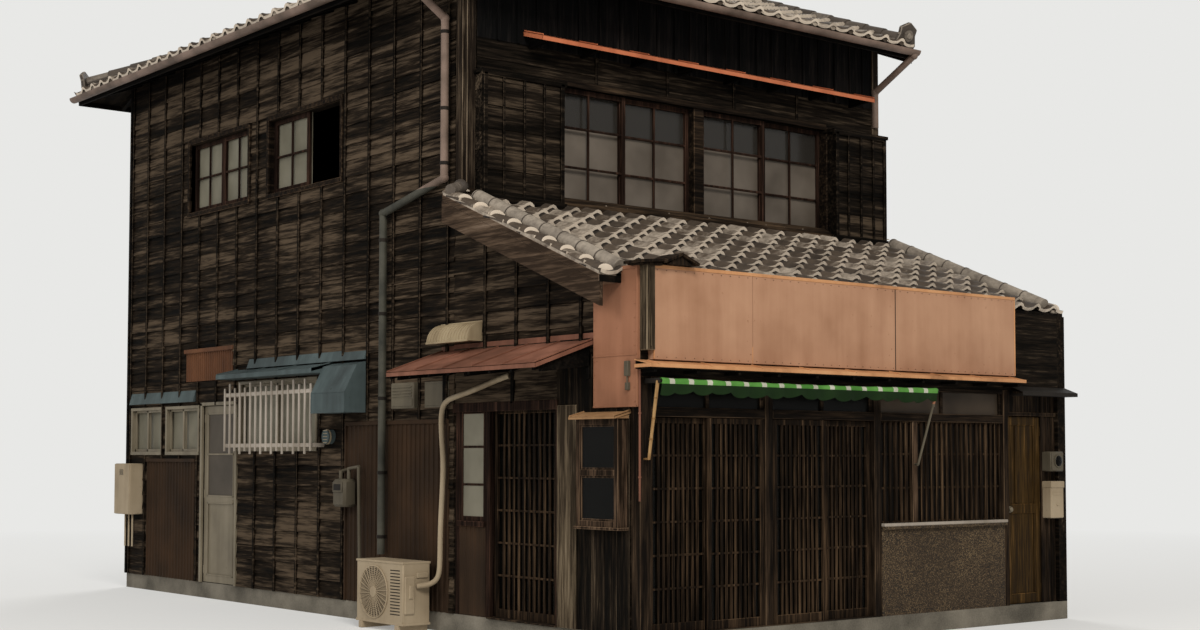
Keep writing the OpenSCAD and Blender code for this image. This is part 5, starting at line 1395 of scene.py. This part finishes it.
def slider(bm, wall, across, heights):
    left, right = across
    low, high = heights
    middle = (left + right) / 2
    for a, b in ((left, left + 0.035), (right - 0.035, right)):
        member(bm, wall, (a, b), heights, (0.024, -0.06), 0.003)
    for a, b in ((low, low + 0.04), (high - 0.035, high)):
        member(bm, wall, (left, right), (a, b), (0.026, -0.06), 0.003)
    for a, b, front in ((left + 0.03, middle + 0.018, 0.002), (middle - 0.018, right - 0.03, -0.02)):
        for p, q in ((a, a + 0.03), (b - 0.03, b)):
            member(bm, wall, (p, q), (low + 0.03, high - 0.03), (front, front - 0.018), 0.002)
        for p, q in ((low + 0.035, low + 0.07), (high - 0.06, high - 0.03)):
            member(bm, wall, (a, b), (p, q), (front, front - 0.018), 0.002)


bm = start()
for wall, across, heights in (
        (side_wall, (4.99, 6.68), (1.62, 2.37)), (side_wall, (7.62, 8.48), (1.58, 2.14)),
        (side_wall, (8.57, 9.43), (1.58, 2.14)), (back_side, (1.882, 3.572), (1.62, 2.37)),
        (back_side, (1.882, 3.572), (4.33, 5.08))):
    slider(bm, wall, across, heights)
piece("aluminium_frames", bm, aluminium, "metal_windows", whole=True)

bm = start()
for k in range(17):
    y = 4.84 + k * (1.865 - 0.022) / 16
    low_z, high_z = (1.59, 2.342) if k % 2 else (1.62, 2.292)
    member(bm, side_wall, (y, y + 0.022), (low_z, high_z), (0.18, 0.162), 0.003)
for z in (1.66, 2.20):
    member(bm, side_wall, (4.84, 6.705), (z, z + 0.04), (0.168, 0.15), 0.003)
    for y in (4.84, 6.683):
        member(bm, side_wall, (y, y + 0.022), (z, z + 0.04), (0.165, 0.0), 0.003)
piece("window_grille", bm, white_bars, "metal_windows")

# %% [markdown]
# Tin work: the canopy over the kitchen window, the cover of the cooker hood, flashings and a
# round vent cap. All are folded from thin sheet, so their edges have narrow turned lips.

# %% Tin covers
dress(blue_tin, "tin_covers")
bm = start()
sheet_roof(bm, side_wall, (4.69, 6.74), 2.50, 0.065, 0.258, 3, 0.004, 0.03)
piece("kitchen_canopy", bm, blue_tin, "tin_covers")
bm = start()
for y in (4.05, 4.684):
    member(bm, side_wall, (y, y + 0.006), (1.99, 2.19), (0.264, 0.0), 0.001)
members(bm, side_wall, ((4.05, 4.69), (1.986, 2.0), (0.266, 0.24), 0.003),
        ((4.05, 4.69), (2.18, 2.192), (0.264, 0.25), 0.002))
piece("hood_cover_lips", bm, blue_tin, "tin_covers")
bm = start()
for k in range(5):
    z = 1.70 + k * 0.03
    member(bm, side_wall, (4.66, 4.74), (z, z + 0.006), (0.094, 0.088), 0.001)
tube(bm, (-0.06, 4.70, 1.76), (-0.075, 4.70, 1.76), 0.074, 24)
piece("vent_cap_slats", bm, enamel, "tin_covers", smooth=40)

# %% [markdown]
# The metal back door has a glazed upper half with a rail across and a plain lower panel. Its
# hinges are at the far side and its knob near the kitchen.

# %% Back door
dress(aluminium, "back_door")
bm = start()
back = lambda along, up, out: Vector((0.008 - out, along, up))
member(bm, back, (6.828, 7.442), (1.13, 2.03), (-0.006, -0.012), 0.0005)
piece("back_door_glass", bm, side_pane, "back_door", "back_door")
bm = start()
for a, b in ((6.822, 6.84), (7.43, 7.448)):
    member(bm, back, (a, b), (1.12, 2.045), (0.004, -0.01), 0.002)
    member(bm, back, (a, b), (0.25, 1.06), (0.004, -0.01), 0.002)
for z in (1.12, 1.58, 2.028, 0.25, 1.042):
    member(bm, back, (6.822, 7.448), (z, z + 0.018), (0.004, -0.01), 0.002)
tube(bm, (0.004, 6.788, 1.07), (-0.004, 6.788, 1.07), 0.034, 24)
knob = Matrix.Translation((-0.02, 6.788, 1.07)) @ Matrix.Diagonal((0.6, 1, 1, 1))
bmesh.ops.create_uvsphere(bm, u_segments=20, v_segments=12, radius=0.026, matrix=knob)
piece("back_door_trim", bm, aluminium, "back_door", "back_door", smooth=40)
bm = start()
for a, b in ((6.70, 6.742), (7.528, 7.57)):
    member(bm, side_wall, (a, b), (0.17, 2.16), (0.03, 0.0), 0.003)
member(bm, side_wall, (6.70, 7.57), (2.128, 2.165), (0.03, 0.0), 0.003)
piece("back_door_casing", bm, aluminium, "wall_heads")

# %% [markdown]
# The outdoor unit of the air conditioner is a case of painted sheet on two feet. A ring of
# wires guards the fan, slots beside it let air in, and a cover closes the valves at the side.
# Its wrapped pipes leave the wall under the canopy and bend down to it.

# %% Air conditioner
def ac_face(along, up, out):
    return Vector((-0.38 - out, along, up))


def wire_ring(bm, middle, axis, radius, wire, count):
    axis = Vector(axis)
    side = axis.orthogonal().normalized()
    facing = side.cross(axis).to_track_quat("Z", "Y").to_matrix().to_4x4()
    ring_at = Matrix.Translation(Vector(middle) + side * radius) @ facing
    ring = bmesh.ops.create_circle(bm, cap_ends=False, segments=8, radius=wire, matrix=ring_at)["verts"]
    edges = list({e for v in ring for e in v.link_edges})
    before = set(bm.faces)
    bmesh.ops.spin(bm, geom=ring + edges, cent=middle, axis=axis, angle=2 * math.pi, steps=count,
                   use_merge=True, use_duplicate=False)
    tint(bm, set(bm.faces) - before, 0.5)


fan = Vector((-0.384, 3.295, 0.34))
bm = start()
bar(bm, (-0.38, 2.81, 0.062), (-0.09, 3.60, 0.62), 0.012, 0.6)
piece("ac_case", bm, enamel, "ac_unit", whole=True, smooth=40)
# A thin dark disc behind the guard is painted shade inside the fan opening.
bm = start()
tube(bm, (-0.3805, fan.y, fan.z), (-0.382, fan.y, fan.z), 0.232, 48, 0.2)
piece("ac_fan_well", bm, dark_iron, "ac_unit", smooth=40)
bm = start()
for radius in [0.235] + [0.055 + 0.0165 * k for k in range(11)]:
    wire = 0.0035 if radius < 0.23 else 0.007
    wire_ring(bm, (-0.3865, fan.y, fan.z), (1, 0, 0), radius, wire, 48 if radius > 0.1 else 28)
for k in range(28):
    angle = 2 * math.pi * k / 28
    arm = Vector((0, math.cos(angle), math.sin(angle)))
    across_arm = Vector((0, -arm.z, arm.y)) * 0.03
    hub = fan + Vector((-0.006, 0, 0))
    tube(bm, hub + arm * 0.055, hub + arm * 0.232 + across_arm, 0.004, 6, 0.5)
tube(bm, (-0.384, fan.y, fan.z), (-0.395, fan.y, fan.z), 0.056, 28, 0.9, 0.05)
piece("ac_fan_guard", bm, enamel, "ac_unit", smooth=40)
# The slots are dark strips on the face: painted shade inside them.
bm = start()
for k in range(15):
    z = 0.15 + k * 0.028
    member(bm, ac_face, (2.86, 3.02), (z, z + 0.010), (0.0012, -0.003), 0.001, 0.1)
piece("ac_slots", bm, dark_iron, "ac_unit")
bm = start()
members(bm, ac_face, ((2.806, 3.604), (0.606, 0.626), (0.006, -0.294), 0.004, 0.8),
        ((2.806, 3.604), (0.06, 0.082), (0.004, -0.292), 0.003, 0.4))
bar(bm, (-0.37, 2.79, 0.16), (-0.26, 2.812, 0.50), 0.01, 0.7)
bar(bm, (-0.33, 2.775, 0.30), (-0.29, 2.795, 0.42), 0.006, 0.5)
bar(bm, (-0.24, 2.795, 0.48), (-0.12, 2.812, 0.53), 0.005, 0.3)
for y in (2.87, 3.48):
    bar(bm, (-0.395, y, 0.0), (-0.075, y + 0.06, 0.062), 0.006, 0.2)
piece("ac_trim", bm, enamel, "ac_unit")

# %% [markdown]
# The pipes are one tube along a smooth curve. A curve object with a round bevel makes it,
# and it is turned into a mesh at once.

# %% Wrapped pipes
def bent_pipe(name, points, radius, finish, slot):
    curve = bpy.data.curves.new(name, "CURVE")
    curve.dimensions = "3D"
    curve.bevel_depth = radius
    curve.bevel_resolution = 5
    curve.resolution_u = 10
    curve.use_fill_caps = True
    line = curve.splines.new("NURBS")
    line.points.add(len(points) - 1)
    for spot, point in zip(line.points, points):
        spot.co = (*point, 1.0)
    line.use_endpoint_u = True
    line.order_u = 4
    holder = bpy.data.objects.new(name + "_curve", curve)
    scene.collection.objects.link(holder)
    bm = start()
    bm.from_mesh(holder.to_mesh())
    holder.to_mesh_clear()
    bpy.data.objects.remove(holder)
    tint(bm, bm.faces, 0.5)
    piece(name, bm, finish, slot, smooth=50)


pipe_line = [
    (-0.02, 1.72, 2.26), (-0.066, 1.80, 2.235), (-0.066, 2.15, 2.15), (-0.066, 2.45, 2.10),
    (-0.066, 2.66, 2.06), (-0.066, 2.69, 1.9), (-0.066, 2.67, 1.7), (-0.066, 2.64, 1.5),
    (-0.066, 2.665, 1.2), (-0.066, 2.69, 0.9), (-0.066, 2.69, 0.6), (-0.08, 2.69, 0.46),
    (-0.16, 2.72, 0.42), (-0.235, 2.80, 0.41)]
bent_pipe("wrapped_pipes", pipe_line, 0.024, enamel, "ac_unit")

# %% [markdown]
# Boxes on the walls: the water heater with its flue, the gas meter on its pipes, two vent
# boxes, and at the right end of the shop front a mailbox under a meter box.

# %% Boxes on the walls
bm = start()
bar(bm, (-0.18, 9.095, 0.88), (0.0, 9.515, 1.48), 0.01, 0.7)
bar(bm, (-0.186, 9.10, 0.885), (-0.178, 9.51, 1.475), 0.004, 0.9)
bar(bm, (-0.19, 9.24, 1.34), (-0.18, 9.37, 1.42), 0.003, 0.2)
bar(bm, (-0.184, 9.16, 0.95), (-0.178, 9.45, 1.25), 0.002, 0.6)
for y in (9.2, 9.3, 9.4):
    tube(bm, (-0.09, y, 0.88), (-0.09, y, 0.5), 0.011, 12, 0.3)
piece("water_heater", bm, enamel, "wall_boxes", whole=True, smooth=40)
# The flue slots are thin dark strips: painted shade inside them.
bm = start()
for k in range(6):
    bar(bm, (-0.1915, 9.25, 1.348 + k * 0.011), (-0.189, 9.36, 1.353 + k * 0.011), 0.0005, 0.1)
piece("heater_flue_slots", bm, dark_iron, "wall_boxes")

bm = start()
bar(bm, (-0.16, 4.21, 1.08), (-0.014, 4.44, 1.35), 0.025, 0.7)
bar(bm, (-0.172, 4.235, 1.22), (-0.158, 4.415, 1.32), 0.006, 0.9)
tube(bm, (-0.085, 4.25, 1.34), (-0.085, 4.25, 1.46), 0.018, 14, 0.5)
tube(bm, (-0.085, 4.40, 1.34), (-0.085, 4.40, 1.43), 0.018, 14, 0.5)
tube(bm, (-0.085, 4.25, 1.45), (-0.085, 4.06, 1.47), 0.016, 14, 0.5)
tube(bm, (-0.085, 4.07, 1.47), (-0.06, 4.07, 0.2), 0.016, 14, 0.4)
tube(bm, (-0.085, 4.40, 1.42), (-0.02, 4.40, 1.44), 0.016, 14, 0.5)
piece("gas_meter", bm, grey_enamel, "wall_boxes", smooth=40)
bm = start()
bar(bm, (-0.1745, 4.26, 1.24), (-0.171, 4.39, 1.30), 0.002, 0.1)
piece("meter_window", bm, dark_iron, "wall_boxes")

bm = start()
bar(bm, (-0.02, 2.64, 2.01), (0.0, 3.03, 2.25), 0.004, 0.4)
bar(bm, (-0.026, 2.66, 2.03), (-0.018, 3.01, 2.23), 0.003, 0.7)
bar(bm, (-0.08, 3.12, 2.01), (0.0, 3.51, 2.25), 0.008, 0.3)
bar(bm, (-0.086, 3.14, 2.03), (-0.078, 3.49, 2.10), 0.003, 0.5)
for k in range(4):
    bar(bm, (-0.088, 3.15, 2.12 + k * 0.028), (-0.078, 3.48, 2.132 + k * 0.028), 0.002, 0.2)
piece("vent_boxes", bm, grey_enamel, "wall_boxes")

bm = start()
bar(bm, (5.124, -0.07, 0.98), (5.324, 0.04, 1.33), 0.008, 0.6)
bar(bm, (5.12, -0.078, 1.27), (5.328, 0.04, 1.335), 0.006, 0.8)
bar(bm, (5.15, -0.0735, 1.20), (5.298, -0.069, 1.225), 0.002, 0.0)
bar(bm, (5.205, -0.078, 1.1), (5.243, -0.069, 1.115), 0.002, 0.3)
piece("mailbox", bm, enamel, "wall_boxes")
bm = start()
bar(bm, (5.124, -0.07, 1.43), (5.324, 0.04, 1.62), 0.008, 0.3)
bar(bm, (5.135, -0.078, 1.44), (5.313, -0.069, 1.61), 0.004, 0.6)
tube(bm, (5.224, -0.076, 1.53), (5.224, -0.09, 1.53), 0.062, 28, 0.4)
piece("meter_box", bm, grey_enamel, "wall_boxes", smooth=40)
bm = start()
dome = Matrix.Translation((5.224, -0.086, 1.53)) @ Matrix.Diagonal((1, 0.4, 1, 1))
bmesh.ops.create_uvsphere(bm, u_segments=24, v_segments=12, radius=0.054, matrix=dome)
piece("meter_dome", bm, dark_pane, "wall_boxes", smooth=180)

# %% [markdown]
# Right end: a narrow varnished door, worn pale round its knob, a fixed panel beside it and a
# small ledge of sheet over both.

# %% Right end
bm = start()
bar(bm, (5.114, 0.04, 0.17), (5.334, 0.10, 2.2), 0.004, 0.8)
bar(bm, (5.108, 0.03, 0.17), (5.15, 0.05, 2.2), 0.004, 0.3)
bar(bm, (4.575, 0.04, 1.96), (5.114, 0.10, 2.2), 0.004, 0.4)
bar(bm, (4.575, 0.02, 1.96), (5.334, 0.045, 1.995), 0.004, 0.7)
for x in (5.19, 5.26):
    bar(bm, (x, 0.034, 0.18), (x + 0.004, 0.042, 2.19), 0.001, 0.0)
piece("end_panel", bm, frame_wood, "end_frame", whole=True)
bm = start()
along_x(bm, 4.6, [(-0.15, 2.176), (0.0, 2.232), (0.0, 2.24), (-0.15, 2.184)], 0.854)
bar(bm, (4.6, -0.152, 2.15), (house_w, -0.146, 2.186), 0.002)
bar(bm, (4.61, -0.14, 2.15), (5.444, 0.0, 2.17), 0.003, 0.2)
piece("end_ledge", bm, dark_iron, "end_frame")

bm = start()
end_face = front_wall(0.048)
for a, b, tone in ((4.583, 4.66, 0.5), (5.04, 5.106, 0.2)):
    member(bm, end_face, (a, b), (0.178, 1.952), (0, -0.036), 0.004, tone)
for a, b in ((0.178, 0.27), (1.03, 1.12), (1.87, 1.952)):
    member(bm, end_face, (4.66, 5.04), (a, b), (-0.002, -0.034), 0.004)
for a, b, tone in ((0.27, 1.03, 0.9), (1.12, 1.87, 0.6)):
    member(bm, end_face, (4.66, 5.04), (a, b), (-0.014, -0.03), 0.002, tone)
for a, b in ((4.664, 4.684), (5.016, 5.036)):
    for heights in ((1.125, 1.865), (0.275, 1.025)):
        member(bm, end_face, (a, b), heights, (-0.004, -0.014), 0.003, 0.3)
member(bm, end_face, (4.735, 4.76), (1.13, 1.86), (-0.003, -0.014), 0.003, 0.1)
for z in (0.268, 1.044, 1.772):
    tube(bm, (5.101, 0.048, z), (5.101, 0.048, z + 0.09), 0.005, 12, 0.2)
piece("end_door_leaf", bm, door_wood, "end_door", "end_door", whole=True, smooth=30)
bm = start()
tube(bm, (4.631, 0.048, 1.07), (4.631, 0.036, 1.07), 0.03, 20, 0.5)
tube(bm, (4.631, 0.04, 1.07), (4.631, 0.02, 1.07), 0.011, 14, 0.5)
knob = Matrix.Translation((4.631, 0.022, 1.07)) @ Matrix.Diagonal((1, 0.6, 1, 1))
bmesh.ops.create_uvsphere(bm, u_segments=20, v_segments=12, radius=0.024, matrix=knob)
piece("end_door_knob", bm, aluminium, "end_door", "end_door", smooth=60)

# %% [markdown]
# The showcase on the corner is a shallow cupboard with two glazed openings, a shelf between
# them and a small roof of rusty sheet.

# %% Showcase
bm = start()
for a, b in ((0.14, 0.188), (0.622, 0.67)):
    member(bm, side_wall, (a, b), (1.01, 1.87), (0.112, 0.0), 0.004)
for a, b in ((1.01, 1.058), (1.416, 1.464), (1.822, 1.87)):
    member(bm, side_wall, (0.188, 0.622), (a, b), (0.112, 0.0), 0.003)
members(bm, side_wall, ((0.15, 0.66), (1.02, 1.86), (0.02, 0.0), 0.002, 0.1),
        ((0.12, 0.69), (0.99, 1.012), (0.125, 0.0), 0.004, 0.9))
for low_z, high_z in ((1.058, 1.416), (1.464, 1.822)):
    for a, b in ((0.188, 0.204), (0.606, 0.622)):
        member(bm, side_wall, (a, b), (low_z, high_z), (0.1, 0.085), 0.002)
    for a, b in ((low_z, low_z + 0.016), (high_z - 0.016, high_z)):
        member(bm, side_wall, (0.204, 0.606), (a, b), (0.1, 0.085), 0.002)
piece("showcase_frame", bm, case_wood, "showcase", whole=True)
bm = start()
for low_z, high_z in ((1.07, 1.404), (1.476, 1.81)):
    member(bm, side_wall, (0.2, 0.61), (low_z, high_z), (0.094, 0.09), 0.0006)
piece("showcase_glass", bm, dark_pane, "showcase")
bm = start()
sheet_roof(bm, side_wall, (0.11, 0.70), 1.93, 0.045, 0.168, 1, 0.005, 0.02)
member(bm, side_wall, (0.12, 0.69), (1.868, 1.9), (0.14, 0.0), 0.003)
piece("showcase_roof", bm, case_sheet, "showcase")

# %% [markdown]
# The frame's own walls and floors stay. They are seen inside the rooms, in the gaps between
# the boards and under the eaves, so they get the same boards as the outside.

# %% Finishes of the frame
dress(board_y, "left_wall_lower", "left_wall_upper", "gable_walls", "party_wall")
dress(board_x, "back_wall", "upper_front_wall", "wall_heads", "shutter_boxes")
dress(floor_wood, "upper_floor")
bm = start()
for k in range(34):
    x = 0.165 + k * 0.151
    bar(bm, (x, 0.17, 0.15), (x + 0.149, 9.38, 0.158), 0.0015)
piece("shop_floor_boards", bm, floor_wood, "foundation")
bm = start()
bar(bm, (0.12, 2.546, 2.952), (5.334, 9.42, 2.958), 0.001, 0.4)
for k in range(13):
    y = 2.56 + k * 0.52
    bar(bm, (0.122, y, 2.955), (5.332, y + 0.516, 2.964), 0.002)
piece("upper_floor_boards", bm, floor_wood, "upper_floor")

# %% [markdown]
# The stage is one flat pale floor. Far from the house it glows in the backdrop's colour, so
# that no horizon shows. Three large soft lamps stand round the house, and the world lights
# it dimly but shows a pale sky to the camera and to gloss.

# %% Floor, lamps and sky
floor_finish = Finish("pale floor", Roughness=0.9, Specular_IOR_Level=0.0)
floor_finish.shade(paint(238, 238, 236))
spot = floor_finish.place()
away = floor_finish.node("ShaderNodeVectorMath", {0: spot}, out="Value", operation="LENGTH")
far = floor_finish.node(
    "ShaderNodeMapRange", {"Value": away, "From Min": 4.0, "From Max": 26.0, "To Min": 0.3})
backdrop_tone = paint(232, 232, 230)
glow = floor_finish.node("ShaderNodeEmission", {"Color": backdrop_tone})
body = Sock(floor_finish, floor_finish.shader.outputs[0])
whole = floor_finish.node("ShaderNodeMixShader", {0: far, 1: body, 2: glow})
floor_finish.give(floor_finish.tree.nodes["Material Output"].inputs["Surface"], whole)
bm = start()
bmesh.ops.create_grid(bm, x_segments=1, y_segments=1, size=90.0)
bmesh.ops.translate(bm, verts=bm.verts, vec=(0, 0, -0.002))
mesh = bpy.data.meshes.new("floor")
bm.to_mesh(mesh)
bm.free()
mesh.materials.append(floor_finish.material)
floor = bpy.data.objects.new("floor", mesh)
scene.collection.objects.link(floor)

sky = bpy.data.worlds.new("pale sky")
sky.use_nodes = True
scene.world = sky
links = sky.node_tree.links
nodes = sky.node_tree.nodes
light_path = nodes.new("ShaderNodeLightPath")
seen = nodes.new("ShaderNodeMath")
seen.operation = "MAXIMUM"
links.new(light_path.outputs["Is Camera Ray"], seen.inputs[0])
links.new(light_path.outputs["Is Glossy Ray"], seen.inputs[1])
lit = nodes["Background"]
lit.inputs["Color"].default_value = (1.0, 0.97, 0.93, 1.0)
lit.inputs["Strength"].default_value = 0.42
backdrop = nodes.new("ShaderNodeBackground")
backdrop.inputs["Color"].default_value = (*backdrop_tone, 1.0)
both = nodes.new("ShaderNodeMixShader")
links.new(seen.outputs[0], both.inputs[0])
links.new(lit.outputs[0], both.inputs[1])
links.new(backdrop.outputs[0], both.inputs[2])
links.new(both.outputs[0], nodes["World Output"].inputs["Surface"])


def lamp(name, place, aim, size, power, warm=(1.0, 1.0, 1.0)):
    light = bpy.data.lights.new(name, "AREA")
    light.size = size
    light.energy = power
    light.color = warm
    holder = bpy.data.objects.new(name, light)
    holder.location = place
    holder.rotation_euler = (Vector(aim) - Vector(place)).to_track_quat("-Z", "Y").to_euler()
    scene.collection.objects.link(holder)


scene.view_settings.view_transform = "Standard"
lamp("key_lamp", (-7.0, -15.0, 15.0), (2.0, 2.0, 2.5), 6.0, 3000, (1.0, 0.97, 0.92))
lamp("side_lamp", (-17.0, 2.0, 10.0), (0.0, 4.0, 2.5), 7.0, 1000)
lamp("back_lamp", (12.0, 18.0, 14.0), (2.7, 5.0, 3.0), 7.0, 1400)
print("three soft lamps")
